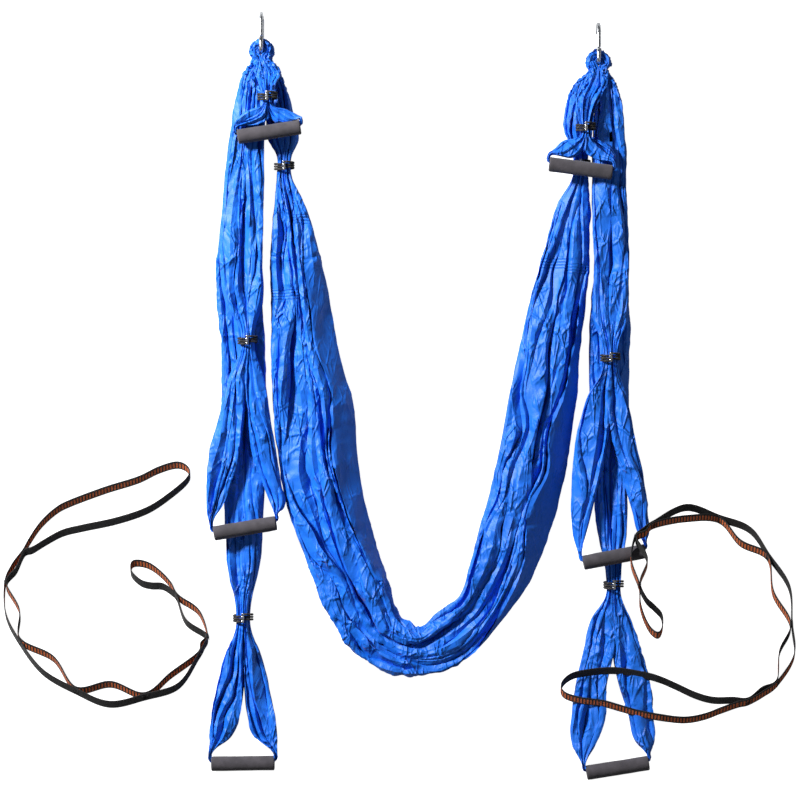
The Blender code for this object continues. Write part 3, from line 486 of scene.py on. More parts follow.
# %% Smooth belts through the rows
def closed_curve(rows, spacing):
    """Even samples of a closed belt: distance along it, inner edge, outer edge, bottom and top."""
    values = np.array([[*inner, *outer, bottom, top] for inner, outer, bottom, top in rows])
    middles = (values[:, :2] + values[:, 2:4]) / 2
    gaps = np.linalg.norm(np.roll(middles, -1, axis=0) - middles, axis=1)
    start = np.concatenate(([0.0], np.cumsum(gaps)))
    slopes = (np.roll(values, -1, axis=0) - values) / gaps[:, None]
    before, gaps_before = np.roll(slopes, 1, axis=0), np.roll(gaps, 1)[:, None]
    tangent = (gaps[:, None] * before + gaps_before * slopes) / (gaps[:, None] + gaps_before)
    steepest = 3 * np.minimum(abs(before), abs(slopes))
    limited = np.where(before * slopes > 0, np.clip(tangent, -steepest, steepest), 0.0)
    tangent[:, 4:] = limited[:, 4:]
    length = start[-1]
    count = int(length / spacing)
    places = np.arange(count) * length / count
    piece = np.clip(np.searchsorted(start, places, side="right") - 1, 0, len(rows) - 1)
    t = ((places - start[piece]) / gaps[piece])[:, None]
    after = (piece + 1) % len(rows)
    step = gaps[piece][:, None]
    shape = ((2 * t**3 - 3 * t**2 + 1) * values[piece] + (t**3 - 2 * t**2 + t) * step * tangent[piece]
             + (3 * t**2 - 2 * t**3) * values[after] + (t**3 - t**2) * step * tangent[after])
    return places, length, shape[:, :2], shape[:, 2:4], shape[:, 4], shape[:, 5]


# %% [markdown]
# Gathered cloth is a row of pleats. Each pleat is two slopes that meet in a ridge, and its walls drop into narrow
# valleys. Where two crests differ in height, the higher one lies a little over the lower, as pressed pleats do. The
# widths, heights, slopes and ridges wander slowly along the cloth, which is what makes pleats merge and part. The
# outermost pleat turns round and runs back underneath. Beside a ring the drawn-up cloth puckers. On top of that
# comes the crumple of thin nylon: sharp ridges between flat facets, long ones that run with the pleats and short
# ones that cross them.

# %% Pleats
CREST_POINTS = 9
ROOF_PITCH = 0.42
HIGHEST_ROOF = 0.0115
HALF_VALLEY = 0.0004
WIDER_VALLEY = 0.0022
VALLEY_FLOOR = 0.12
MOST_OVERLAP = 0.007
SEAM_OVERLAP = 0.0012
UNDER_POINTS = 5
RUFFLE_DEPTH = 0.0090
RUFFLE_REACH = 0.072
SHARP_CREASE = math.radians(26)

# A half holds loose pleats where it is higher and wider than the first figures, fully so by the second ones more
LOOSE_HEIGHT = (0.009, 0.01)
LOOSE_WIDTH = (0.012, 0.02)
WIDTH_CONTRAST = 2.6
SHEET_GROWTH = 1.1
SHEET_SLOPE = 0.95
DOME_DROP = 0.35
TILTED_WIDTH = 0.02
UPPER_LIP = 0.0005

# What wanders along the pleats: its wavelength in metres, where its noise starts and the step from pleat to pleat,
# then its mean, its swing, its least and its most
TRAITS = {
    "width": (0.36, 0, 3.1, 0, 1, -9, 9), "narrowing": (0.11, 50, 1, 0, 0.4, -9, 9),
    "level": (0.24, 100, 2.3, 0.72, 0.6, 0.4, 0.9), "tilt": (0.19, 200, 1.7, 0, 1.1, -9, 9),
    "seam": (0.21, 400, 0, 0, 6, -1, 1), "depth": (0.16, 500, 2.9, 0.85, 1.3, 0.22, 1),
    "ridge": (0.22, 600, 1.3, 0.5, 0.9, 0.14, 0.86), "bulge": (0.15, 700, 2.1, 0.75, 1, 0.2, 1),
    "gap": (0.17, 800, 2.7, 0, 2.4, 0, 1),
}

# The crumple's nets of facets: lean across, length, lean along and width in metres, share, and if it is patchy
CRUMPLE_NETS = [(0.4, 0.150, -0.12, 0.042, 0.55, False), (0.9, 0.080, -0.50, 0.036, 0.35, False),
                (-1.1, 0.034, 0.45, 0.017, 0.35, True)]
CRUMPLE_DEPTH = 0.0050
CRUMPLE_BEND = 0.006
FULL_CRUMPLE_HEIGHT = 0.024
FULL_CRUMPLE_WIDTH = 0.034
PUCKER_SIZE = (0.013, 0.011)


def ring_noise(angle, wavelength, length, seed):
    """Smooth noise along a closed belt, that meets itself."""
    radius = length / (math.tau * wavelength)
    return np.array([noise.noise(Vector((radius * math.cos(a), radius * math.sin(a), seed))) for a in angle])


def pleat_profile(width, height, pleats, angle, length, seed, sheet):
    """Across and up for every row of a gathered half, in metres from its middle and from its bottom."""
    def wander(trait, pleat=0):
        """How one trait of one pleat changes along the cloth."""
        wavelength, start, step, mean, swing, least, most = TRAITS[trait]
        drift = ring_noise(angle, wavelength, length, seed + (start + step * pleat))
        return np.clip(mean + swing * drift, least, most)

    loose = 1.0
    for size, (start, over) in ((height, LOOSE_HEIGHT), (width, LOOSE_WIDTH)):
        loose = loose * np.clip((size - start) / over, 0, 1)
    weight = np.stack([np.exp(WIDTH_CONTRAST * (wander("width", k) + wander("narrowing", k))) for k in range(pleats)])
    weight[-1] *= 1 + sheet * pleats * SHEET_GROWTH
    crest_width = width * weight / weight.sum(axis=0)
    edge = np.concatenate((np.zeros((1, len(angle))), np.cumsum(crest_width, axis=0))) - width / 2
    left_top, right_top = np.empty_like(crest_width), np.empty_like(crest_width)
    for k in range(pleats):
        share = np.clip(edge[k:k + 2].mean(axis=0) / (width / 2), 0, 1)
        level = (1 - DOME_DROP * share**3) * wander("level", k)
        tilt = wander("tilt", k) * np.minimum(crest_width[k], TILTED_WIDTH)
        left_top[k] = np.minimum(level * height - tilt, height)
        right_top[k] = np.minimum(level * height + tilt, height)
    left_top[-1] = left_top[-1] * (1 - sheet) + 0.97 * height * sheet
    right_top[-1] = right_top[-1] * (1 - sheet) + (1 - SHEET_SLOPE) * height * sheet
    floor = VALLEY_FLOOR * height
    left_top, right_top = np.maximum(left_top, 0.3 * height), np.maximum(right_top, 0.2 * height)
    along_seam = np.sign(np.sin(angle)) * wander("seam")
    x, z, lit = [], [], []

    def column(across, up, crest=0.0):
        """One line of points along the cloth; crest is how much of the crumple it takes."""
        x.append(np.broadcast_to(across, angle.shape))
        z.append(np.broadcast_to(up, angle.shape))
        lit.append(crest)

    lap = np.zeros((pleats + 1, len(angle)))
    low = np.empty((pleats + 1, len(angle)))
    valley = np.empty((pleats + 1, len(angle)))
    half_valley = np.empty((pleats + 1, len(angle)))
    for k in range(pleats + 1):
        if 0 < k < pleats:
            most = np.minimum(MOST_OVERLAP, 0.4 * np.minimum(crest_width[k - 1], crest_width[k])) * loose
            lap[k] = np.clip(0.9 * (right_top[k - 1] - left_top[k]), -most, most)
            low[k] = np.minimum(right_top[k - 1], left_top[k])
        else:
            low[k] = left_top[0] if k == 0 else right_top[-1]
        deep = wander("depth", k) if 0 < k < pleats else 1.0
        valley[k] = low[k] - deep * (low[k] - floor)
        beside_sheet = sheet if k == pleats - 1 else 0.0
        half_valley[k] = HALF_VALLEY + WIDER_VALLEY * loose * (wander("gap", k) + 1.2 * beside_sheet)
    lap[0] = -0.005 * loose * along_seam
    for k in range(pleats):
        if k == 0:
            column(edge[0] - SEAM_OVERLAP, floor * 0.6)
        else:
            column(edge[k], valley[k])
        higher = lap[k] < 0
        lip = UPPER_LIP * (k > 0)
        column(edge[k] + half_valley[k], np.where(higher, low[k] + lip, 0.6 * low[k] + 0.4 * valley[k]))
        tucked = np.maximum(lap[0], 0) - SEAM_OVERLAP if k == 0 else 0
        first = edge[k] + half_valley[k] + np.minimum(lap[k], 0) + tucked
        if k < pleats - 1:
            last = edge[k + 1] - half_valley[k + 1] + np.maximum(lap[k + 1], 0)
        else:
            last = edge[-1] - np.minimum(0.10 * height, 0.12 * crest_width[k])
        bulge = np.minimum(ROOF_PITCH * crest_width[k], HIGHEST_ROOF) * wander("bulge", k)
        ridge = wander("ridge", k)
        if k == pleats - 1:
            bulge, ridge = bulge * (1 - sheet), ridge * (1 - sheet) + 0.12 * sheet
        for j in range(CREST_POINTS):
            share = 2 * j / (CREST_POINTS - 1)
            t = ridge * share if share < 1 else ridge + (1 - ridge) * (share - 1)
            roof = min(share, 2 - share)
            up = left_top[k] + (right_top[k] - left_top[k]) * t + bulge * roof
            column(first + (last - first) * t, np.minimum(up, height + 0.002), 1.0)
        if k < pleats - 1:
            higher = lap[k + 1] > 0
            column(edge[k + 1] - half_valley[k + 1],
                   np.where(higher, low[k + 1] + UPPER_LIP, 0.6 * low[k + 1] + 0.4 * valley[k + 1]))
    column(edge[-1], 0.62 * right_top[-1], 0.6)
    column(edge[-1], 0.30 * right_top[-1], 0.4)
    column(edge[-1] - 0.04 * height, 0.05 * height)
    for j in range(1, UNDER_POINTS):
        column(edge[-1] + (edge[0] - edge[-1] - 0.002 * loose) * j / (UNDER_POINTS - 1), 0.02 * height)
    return np.stack(x, axis=1), np.stack(z, axis=1), np.array(lit)


def facets(x, y, seed):
    """Flat slopes that meet at sharp edges, about -1 to 1."""
    return 1.5 * noise.voronoi(Vector((x, y, seed)), distance_metric="MANHATTAN")[0][0] - 0.9


def ridges(u, v, seed):
    """The crumple of the nylon, about -1 to 1: long ridges with the pleats, short ones across them."""
    bend = CRUMPLE_BEND * noise.noise(Vector((u * 14, v * 14, seed)))
    busy = min(max(0.55 + 1.6 * noise.noise(Vector((u * 6, v * 9, seed + 9))), 0.1), 1.0)
    u, v = u + bend, v + bend
    total = 0.0
    for number, (across, length, along, width, share, patchy) in enumerate(CRUMPLE_NETS, 1):
        net = facets((u + across * v) / length, (v + along * u) / width, seed + 20 * number)
        total += share * (busy if patchy else 1.0) * net
    return total


def gathered_cloth(name, rows, pleats, spacing, seed, finish, sheet=None, crush=None):
    """One gathered belt of cloth through the rows, made from a flat grid."""
    places, length, inner, outer, bottom, top = closed_curve(rows, spacing)
    angle = places / length * math.tau
    across = outer - inner
    width = np.linalg.norm(across, axis=1)
    height = top - bottom
    across = across / width[:, None]
    pulled = np.zeros(len(places)) if sheet is None else sheet(inner, outer)
    x, z, lit = pleat_profile(width, height, pleats, angle, length, seed, pulled)
    centre = (inner + outer) / 2
    points = np.empty((*x.shape, 3))
    points[..., :2] = centre[:, None, :] + across[:, None, :] * x[..., None]
    points[..., 2] = bottom[:, None] + z
    wrap = np.concatenate((points[-1:], points, points[:1]), axis=0)
    normal = np.cross(wrap[2:] - wrap[:-2], np.gradient(points, axis=1))
    normal /= np.maximum(np.linalg.norm(normal, axis=2, keepdims=True), 1e-9)
    if (normal[..., 2] * (lit == 1)).sum() < 0:
        normal = -normal
    steps = np.linalg.norm(np.diff(points, axis=1), axis=2)
    arc = np.concatenate((np.zeros((len(places), 1)), np.cumsum(steps, axis=1)), axis=1)
    press = np.array([[ridges(u, v, seed) for v in line] for u, line in zip(places, arc)])
    strength = np.clip(height / FULL_CRUMPLE_HEIGHT, 0.15, 1.0) * np.clip(width / FULL_CRUMPLE_WIDTH, 0.2, 1.0)
    seam = np.clip(np.minimum(places, length - places) / 0.02, 0, 1)
    crushed = 1.0 if crush is None else 1 + crush(centre)
    amount = CRUMPLE_DEPTH * (strength * seam * crushed)[:, None] * (0.15 + 0.85 * lit[None, :])
    from_bows = [np.linalg.norm(centre - np.array(bow_place(side)), axis=1) for side in ("left", "right")]
    near_bow = np.exp(-(np.min(from_bows, axis=0) / RUFFLE_REACH) ** 2)[:, None]
    ruffled = RUFFLE_DEPTH * near_bow * np.clip(1.5 * x / width[:, None] + 0.75, 0, 1)
    wide, deep = PUCKER_SIZE
    pucker = np.array([[0.4 - 2 * abs(noise.noise(Vector((u / wide, v / deep, seed)))) for v in line]
                       for u, line in zip(places, arc)])
    points = points + normal * (press * amount + pucker * ruffled)[..., None]
    points[..., 2] = np.clip(points[..., 2], bottom[:, None] + 0.0002, top[:, None] + 0.003)
    last_crest = np.zeros(x.shape[1])
    last_crest[-(CREST_POINTS + UNDER_POINTS + 3):-UNDER_POINTS - 1] = 1.0
    slack = 1 - np.clip(pulled * 1.1, 0, 1)[:, None] * last_crest
    return belt_mesh(name, points, arc, slack, places, length, finish)


def belt_mesh(name, points, arc, slack, places, length, finish):
    """A flat grid whose points are moved onto the folded belt, joined where the belt closes."""
    count, columns = points.shape[:2]
    bm = bmesh.new()
    flat = bm.loops.layers.uv.new("cloth")
    loose = bm.verts.layers.float.new("slack")
    bmesh.ops.create_grid(bm, x_segments=count, y_segments=columns - 1, size=1.0)
    grid = {}
    for vert in bm.verts:
        grid[vert] = (round((vert.co.x + 1) / 2 * count), round((vert.co.y + 1) / 2 * (columns - 1)))
    for face in bm.faces:
        for loop in face.loops:
            i, j = grid[loop.vert]
            u = length if i == count else places[i]
            loop[flat].uv = (u, arc[i % count, j])
    for vert, (i, j) in grid.items():
        vert.co = points[i % count, j]
        vert[loose] = slack[i % count, j]
    ends = [vert for vert, (i, _) in grid.items() if i in (0, count)]
    bmesh.ops.remove_doubles(bm, verts=ends, dist=0.00001)
    bm.normal_update()
    if sum(face.normal.z for face in bm.faces) < 0:
        bmesh.ops.reverse_faces(bm, faces=bm.faces)
    return finish_object(bm, name, finish, outward=False, sharp=SHARP_CREASE)


# %% [markdown]
# The cloth is nylon taffeta: a thin plain weave of smooth yarn, dyed royal blue. It is nearly dull face on and
# shines in broad pale patches where a crest turns to the lamp, and every crease in it stays. The creases that are
# finer than the mesh are bump: low facets, and the lines where the cloth was pressed, fainter where it is pulled
# taut. The swing's cloth also has the rows of stitches that close the casing at either end.
#
# The real weave has about three yarns to the millimetre, and a real crease or row of stitches is under a millimetre
# wide. All three are drawn coarser, as wide as they need to be to show.

# %% Taffeta
TAFFETA_BLUE = "1269DC"
TAFFETA_DEEP = "0260CA"
TAFFETA_SHEEN = "E0C8FF"

# Layers of creases: size in metres, turn, depth, and whether they are narrow lines
CREASE_LAYERS = [(0.024, -0.75, 0.0036, False), (0.044, 0.42, 0.0025, True), (0.031, -0.62, 0.0020, True),
                 (0.020, 1.2, 0.0013, True)]
LINE_WIDTH = 0.0028

# A real yarn is about a third of a millimetre wide, which is too fine to show, so it is drawn coarser
YARN_PITCH = 0.0022
SEAM_FROM_RING = 0.435
SEAM_ROWS = 4
SEAM_ROW_PITCH = 0.0060
SEAM_ROW_WIDTH = 0.0030
SEAM_DEPTH = 0.0013
WEAVE_DEPTH = 0.0004


def creases(tree, place, size, turn, depth, lines):
    """One layer of creases, in metres, at its own slant: soft facets, or the narrow lines of cloth once pressed."""
    slanted = add(tree, "ShaderNodeMapping", Vector=place, Rotation=(0.0, 0.0, turn),
                  Scale=(1.0 / size, (0.5 if lines else 0.45) / size, 1.0 / size))
    settings = {"feature": "DISTANCE_TO_EDGE"} if lines else {"distance": "MANHATTAN"}
    cell = add(tree, "ShaderNodeTexVoronoi", settings, Vector=slanted, Scale=1.0)
    if not lines:
        return add(tree, "ShaderNodeMath", {"operation": "MULTIPLY"}, _0=cell, _1=depth)
    return add(tree, "ShaderNodeMapRange", {"interpolation_type": "SMOOTHSTEP"}, Value=cell,
               From_Max=LINE_WIDTH / size, To_Min=depth, To_Max=0.0)


def seam_rows(tree, place, belt_length):
    """Rows of lockstitch across the cloth, as grooves in metres, at one distance from either ring."""
    along = add(tree, "ShaderNodeSeparateXYZ", Vector=place).outputs["X"]
    from_ring = add(tree, "ShaderNodeMath", {"operation": "PINGPONG"}, _0=along,
                    _1=belt_length / 4)
    past = add(tree, "ShaderNodeMath", {"operation": "SUBTRACT"}, _0=from_ring, _1=SEAM_FROM_RING)
    off_row = add(tree, "ShaderNodeMath", {"operation": "PINGPONG"}, _0=past, _1=SEAM_ROW_PITCH / 2)
    groove = add(tree, "ShaderNodeMapRange", {"interpolation_type": "SMOOTHSTEP"}, Value=off_row,
                 From_Max=SEAM_ROW_WIDTH / 2, To_Min=-SEAM_DEPTH, To_Max=0.0)
    middle = SEAM_ROW_PITCH * (SEAM_ROWS - 1) / 2
    off_seam = add(tree, "ShaderNodeMath", {"operation": "SUBTRACT"}, _0=past, _1=middle)
    far = add(tree, "ShaderNodeMath", {"operation": "ABSOLUTE"}, _0=off_seam)
    inside = add(tree, "ShaderNodeMath", {"operation": "LESS_THAN"}, _0=far,
                 _1=middle + SEAM_ROW_WIDTH)
    return add(tree, "ShaderNodeMath", {"operation": "MULTIPLY"}, _0=groove, _1=inside)


def taffeta(name, belt_length=None):
    """Nylon taffeta, woven and dyed: half dull blue, pale where it faces the lamp, with crisp fine creases."""
    made, tree, shader = new_material(name, Roughness=0.54, Specular_IOR_Level=0.44, Sheen_Weight=0.07,
                                      Sheen_Roughness=0.35, Sheen_Tint=srgb(TAFFETA_SHEEN))
    place = add(tree, "ShaderNodeUVMap", {"uv_map": "cloth"})
    clouded(tree, shader, place, 9.0, TAFFETA_DEEP, TAFFETA_BLUE, detail=3.0)
    spot = add(tree, "ShaderNodeTexCoord").outputs["Object"]
    height = 0.0
    for size, turn, depth, lines in CREASE_LAYERS:
        layer = creases(tree, spot, size, turn, depth, lines)
        height = add(tree, "ShaderNodeMath", {"operation": "ADD"}, _0=layer, _1=height)
    worn = add(tree, "ShaderNodeTexNoise", Vector=spot, Scale=22.0, Detail=1.0)
    some = add(tree, "ShaderNodeMapRange", Value=worn, From_Min=0.40, From_Max=0.62, To_Min=0.10)
    slack = add(tree, "ShaderNodeAttribute", {"attribute_name": "slack"}).outputs["Fac"]
    loose = add(tree, "ShaderNodeMapRange", Value=slack, To_Min=0.30)
    shown = add(tree, "ShaderNodeMath", {"operation": "MULTIPLY"}, _0=some, _1=loose)
    height = add(tree, "ShaderNodeMath", {"operation": "MULTIPLY"}, _0=height,
                 _1=shown)
    if belt_length:
        rows = seam_rows(tree, place, belt_length)
        height = add(tree, "ShaderNodeMath", {"operation": "ADD"}, _0=rows, _1=height)
    creased = add(tree, "ShaderNodeBump", Height=height, Distance=1.0, Strength=1.0)
    weave = add(tree, "ShaderNodeTexNoise", Vector=place, Scale=1.0 / YARN_PITCH, Detail=1.0)
    fine = add(tree, "ShaderNodeBump", Height=weave, Distance=WEAVE_DEPTH, Strength=1.0, Normal=creased)
    feed(tree, shader, Normal=fine)
    return made


TAFFETA = taffeta("royal_blue_nylon_taffeta")

# %% [markdown]
# The swing comes first. In the left arm the inner side is one smooth sheet that falls away from the lamp, and in
# the right arm the outer side is, so there one fold is pulled broad. Elsewhere the folds share the width.

# %% Swing
SWING_PLEATS = 5
SWING_SPACING = 0.0034
SWING_SEED = 11.0
CRUSHED_SPOT = (-0.045, 0.055)
CRUSHED_REACH = 0.10

# The sheet begins and is whole at these places: to the right of the valley, sideways from the middle, and down
FACES_RIGHT = (0.0, 0.012)
LEFT_ARM_ACROSS, LEFT_ARM_DOWN = (0.0, 0.10), (-0.44, -0.30)
RIGHT_ARM_ACROSS = 0.14
BELOW_TIE = (-0.36, -0.14)


def smooth_step(value, low, high):
    """Rises smoothly from 0 at low to 1 at high."""
    t = np.clip((value - low) / (high - low), 0, 1)
    return t * t * (3 - 2 * t)


def swing_sheet(inner, outer):
    """How far the last pleat is pulled into a smooth sheet: 1 where it takes most of the half's width."""
    middle_x = bow_place("left").x + SPAN_WIDTH / 2
    faces_right = smooth_step(outer[:, 0] - inner[:, 0], *FACES_RIGHT)
    left_arm = smooth_step(middle_x - outer[:, 0], *LEFT_ARM_ACROSS) * smooth_step(outer[:, 1], *LEFT_ARM_DOWN)
    right_arm = smooth_step(outer[:, 0], middle_x, middle_x + RIGHT_ARM_ACROSS)
    below_tie = smooth_step(-outer[:, 1], *BELOW_TIE)
    return 0.9 * faces_right * np.maximum(left_arm, right_arm) * below_tie


def swing_crush(centre):
    """How much more the cloth is crumpled where the left arm turns into the bottom."""
    lowest = centre[np.argmin(centre[:, 1])]
    spot = lowest + np.array(CRUSHED_SPOT)
    return 1.7 * np.exp(-(np.linalg.norm(centre - spot, axis=1) / CRUSHED_REACH) ** 2)


def cloth_area(piece):
    """The surface of a piece of cloth, in square metres."""
    return sum(face.area for face in piece.data.polygons)


SEWN_TAFFETA = taffeta("royal_blue_nylon_taffeta_with_casing_seam", closed_curve(swing_rows(), 0.01)[1])
swing = gathered_cloth("gathered_swing", swing_rows(), SWING_PLEATS, SWING_SPACING, SWING_SEED,
                       SEWN_TAFFETA, sheet=swing_sheet, crush=swing_crush)
settle(swing, "swing", "swing_cloth")
print("swing:", len(swing.data.polygons), "faces,", round(cloth_area(swing), 3), "square metres")

# %% [markdown]
# The straps are belts of the same cloth. The right short strap's tie swings over the medium strap, whose crests are
# pressed down there to let it pass.

# %% Handle straps
STRAP_PLEATS = {"long": 4, "medium": 4, "short": 6}
STRAP_SPACING = 0.0035
TIE_PASSES_OVER = {"right_medium": ((0.346, 0.505), (0.430, 0.560), 0.0416)}
PRESS_SLOPE = 0.6


def press_down(made, low, high, top):
    """Keeps the crests below top inside the rectangle, and lets them rise again slowly outside it."""
    for vert in made.data.vertices:
        away = math.hypot(*(max(near - at, at - far, 0.0) for near, at, far in zip(low, vert.co, high)))
        vert.co.z = min(vert.co.z, top + PRESS_SLOPE * away)


for number, name in enumerate(STRAPS):
    side, cut = name.split("_")
    rows = strap_rows(name)
    band = gathered_cloth(name + "_cloth", rows, STRAP_PLEATS[cut], STRAP_SPACING, 31.0 + 7 * number, TAFFETA)
    band_length = closed_curve(rows, 0.01)[1]
    if name in TIE_PASSES_OVER:
        press_down(band, *TIE_PASSES_OVER[name])
    settle(band, name + "_strap", name + "_strap")

# %% [markdown]
# Each strap's two legs run into the ends of a soft foam sleeve on a plastic tube. The sleeve is spun from its
# half section, with rounded ends, and is a little uneven, as squeezed foam is.

# %% Foam grips
GRIP_STEPS = 72
GRIP_ROUNDING = 0.0028
FOAM_UNEVENNESS = 0.00035
DENT_SIZE = 0.022
PORE_SIZE = 0.0016
PORE_DEPTH = 0.0004


def closed_foam():
    """Moulded nitrile foam: charcoal and dull, with pores. Real ones are far finer, and drawn 1.6 mm to show."""
    made, tree, shader = new_material("charcoal_nitrile_foam", Roughness=0.86, Specular_IOR_Level=0.35,
                                      Sheen_Weight=0.12, Sheen_Roughness=0.6)
    place = add(tree, "ShaderNodeTexCoord").outputs["Object"]
    clouded(tree, shader, place, 55.0, "343136", "454147", detail=4.0)
    pores = add(tree, "ShaderNodeTexVoronoi", Vector=place, Scale=1.0 / PORE_SIZE)
    bump = add(tree, "ShaderNodeBump", Height=pores, Distance=PORE_DEPTH, Strength=0.6)
    feed(tree, shader, Normal=bump)
    return made


def spun(profile, steps, closed=True):
    """A profile of (along, radius) spun round X, as a bmesh."""
    bm = bmesh.new()
    ring = [bm.verts.new((x, r, 0.0)) for x, r in profile]
    ahead = ring[1:] + ring[:1] if closed else ring[1:]
    edges = [bm.edges.new(pair) for pair in zip(ring, ahead)]
    bmesh.ops.spin(bm, geom=ring + edges, cent=(0, 0, 0), axis=(1, 0, 0), angle=math.tau, steps=steps,
                   use_merge=True)
    return bm


def grip_place(name):
    """Where a grip's centre and axis lie."""
    centre, along, _ = grip_frame(name)
    height = layer_span(name.split("_")[1])[0] + GRIP_DIAMETER / 2
    return Matrix.Translation((centre.x, centre.y, height)) @ Matrix.Rotation(math.atan2(along.y, along.x), 4, "Z")


FOAM = closed_foam()
half, outer, bore = GRIP_LENGTH / 2, GRIP_DIAMETER / 2, GRIP_TUBE_DIAMETER / 2 + SEAT_GAP
corners = [[(sign * (half - GRIP_ROUNDING + GRIP_ROUNDING * math.cos(a)),
             outer - GRIP_ROUNDING + GRIP_ROUNDING * math.sin(a)) for a in np.linspace(0, math.pi / 2, 6)]
           for sign in (-1, 1)]
sleeve = ([(-half, bore), *corners[0]] + [(x, outer) for x in np.linspace(-half, half, 34)[2:-2]]
          + [*reversed(corners[1]), (half, bore)])
for number, name in enumerate(STRAPS):
    bm = spun(sleeve, GRIP_STEPS)
    for vert in bm.verts:
        radius = math.hypot(vert.co.y, vert.co.z)
        if radius > bore + SEAT_GAP:
            worn = noise.noise(vert.co / DENT_SIZE + Vector((number * 5.0, 0, 0)))
            vert.co.yz *= 1 + FOAM_UNEVENNESS * worn / radius * (radius - bore) / (outer - bore)
    bmesh.ops.transform(bm, matrix=grip_place(name), verts=bm.verts)
    settle(finish_object(bm, name + "_foam_sleeve", FOAM), name + "_grip", name + "_foam_grip")
print("foam sleeves:", len(STRAPS))

# %% [markdown]
# Cords, wire and webbing are all a section carried along a line, so one helper lays a flat grid along the line
# and closes it where it meets itself. Its UV map holds real metres, which the braid and the bars need.

# %% A grid along a line
def grid_piece(name, points, along, around, finish, closed_along, caps=False):
    """A flat grid moved onto points[row, column] and closed round its columns, with metres as its UV map."""
    rows, columns = points.shape[:2]
    steps = rows if closed_along else rows - 1
    bm = bmesh.new()
    flat = bm.loops.layers.uv.new("surface")
    bmesh.ops.create_grid(bm, x_segments=steps, y_segments=columns, size=1.0)
    spot = {v: (round((v.co.x + 1) / 2 * steps), round((v.co.y + 1) / 2 * columns)) for v in bm.verts}
    for face in bm.faces:
        for loop in face.loops:
            i, j = spot[loop.vert]
            loop[flat].uv = (along[i], around[j])
    for vert, (i, j) in spot.items():
        vert.co = points[i % rows, j % columns]
    seam = [v for v, (i, j) in spot.items() if j in (0, columns) or (closed_along and i in (0, steps))]
    bmesh.ops.remove_doubles(bm, verts=seam, dist=0.000001)
    if caps:
        bmesh.ops.holes_fill(bm, edges=[e for e in bm.edges if e.is_boundary], sides=0)
    return finish_object(bm, name, finish)


def distances(path):
    """Distance of each point of an open line from its start."""
    steps = np.linalg.norm(np.diff(np.array(path), axis=0), axis=1)
    return np.concatenate(([0.0], np.cumsum(steps)))


def round_cord(name, path, radius, sides, finish):
    """A round cord along an open line, carried without twisting."""
    path = [Vector(p) for p in path]
    rings = []
    side = Vector((0.0, 0.0, 1.0))
    for k, spot in enumerate(path):
        ahead = (path[min(k + 1, len(path) - 1)] - path[max(k - 1, 0)]).normalized()
        if k == 0 and abs(ahead.z) > 0.9:
            side = Vector((1.0, 0.0, 0.0))
        side = (side - ahead * side.dot(ahead)).normalized()
        up = ahead.cross(side)
        rings.append([spot + radius * (side * math.cos(a) + up * math.sin(a))
                      for a in np.arange(sides) * math.tau / sides])
    around = np.arange(sides + 1) * math.tau * radius / sides
    return grid_piece(name, np.array(rings), distances(path), around, finish, False, caps=True)


def curve_point(before, first, second, after, t):
    """A place between first and second, on a curve that runs smoothly on through its neighbours."""
    return 0.5 * (2 * first + (second - before) * t + (2 * before - 5 * first + 4 * second - after) * t * t
                  + (3 * first - before - 3 * second + after) * t * t * t)


def smooth_open(points, steps):
    """An open line through the points without corners."""
    line = []
    for k in range(len(points) - 1):
        near = [points[min(max(k + j, 0), len(points) - 1)] for j in (-1, 0, 1, 2)]
        line += [curve_point(*near, step / steps) for step in range(steps)]
    return line + [points[-1]]


# %% [markdown]
# A tie is an elastic cord with a braided cover, black, with a thin grey stripe of painted highlight that winds
# round it. It makes three turns about the cloth's neck, and a small zinc clip is pressed over its two ends.

# %% Elastic ties and clips
TIE_STEPS_A_TURN = 20
TIE_SIDES = 14
BRAID_PITCH = 0.0026
BRAID_DEPTH = 0.0003
BRAID_STRANDS = 6
# Pitch of the thin grey stripe of painted highlight that winds round each tie's cord
GLINT_STRIPE_PITCH = 0.011
CLIP_SIDES = 28
CLIP_CORNER_SHARE = 0.45
CLIP_DENT, CLIP_DENT_PLACE, CLIP_DENT_WIDTH = 0.30, 0.42, 0.11


def wave(tree, value, scale, other, other_scale):
    """The sine of two measures added up, each times its own scale."""
    first = add(tree, "ShaderNodeMath", {"operation": "MULTIPLY"}, _0=value, _1=scale)
    both = add(tree, "ShaderNodeMath", {"operation": "MULTIPLY_ADD"}, _0=other, _1=other_scale, _2=first)
    return add(tree, "ShaderNodeMath", {"operation": "SINE"}, _0=both)


def braided_elastic():
    """Polyester braid over rubber: black and dull, with a winding grey stripe of painted highlight. The real braid is
    finer, about 1 mm.
    """
    made, tree, shader = new_material("black_braided_elastic", Roughness=0.72, Sheen_Weight=0.05)
    place = add(tree, "ShaderNodeUVMap", {"uv_map": "surface"})
    split = add(tree, "ShaderNodeSeparateXYZ", Vector=place)
    along, around = split.outputs["X"], split.outputs["Y"]
    turns = BRAID_STRANDS * math.tau / (math.pi * TIE_CORD)
    one = wave(tree, along, math.tau / BRAID_PITCH, around, turns)
    other = wave(tree, along, math.tau / BRAID_PITCH, around, -turns)
    braid = add(tree, "ShaderNodeMath", {"operation": "MULTIPLY"}, _0=one, _1=other)
    # A thin grey stripe winds round the cord: a painted highlight of its turns
    glint_stripe = wave(tree, along, math.tau / GLINT_STRIPE_PITCH, around, math.tau / (math.pi * TIE_CORD))
    colour = ramp(tree, glint_stripe, [(0.0, "100F10"), (0.93, "141213"), (0.98, "4A423D"), (1.0, "5E564F")])
    feed(tree, shader, Base_Color=colour)
    bump = add(tree, "ShaderNodeBump", Height=braid, Distance=BRAID_DEPTH, Strength=0.8)
    feed(tree, shader, Normal=bump)
    return made


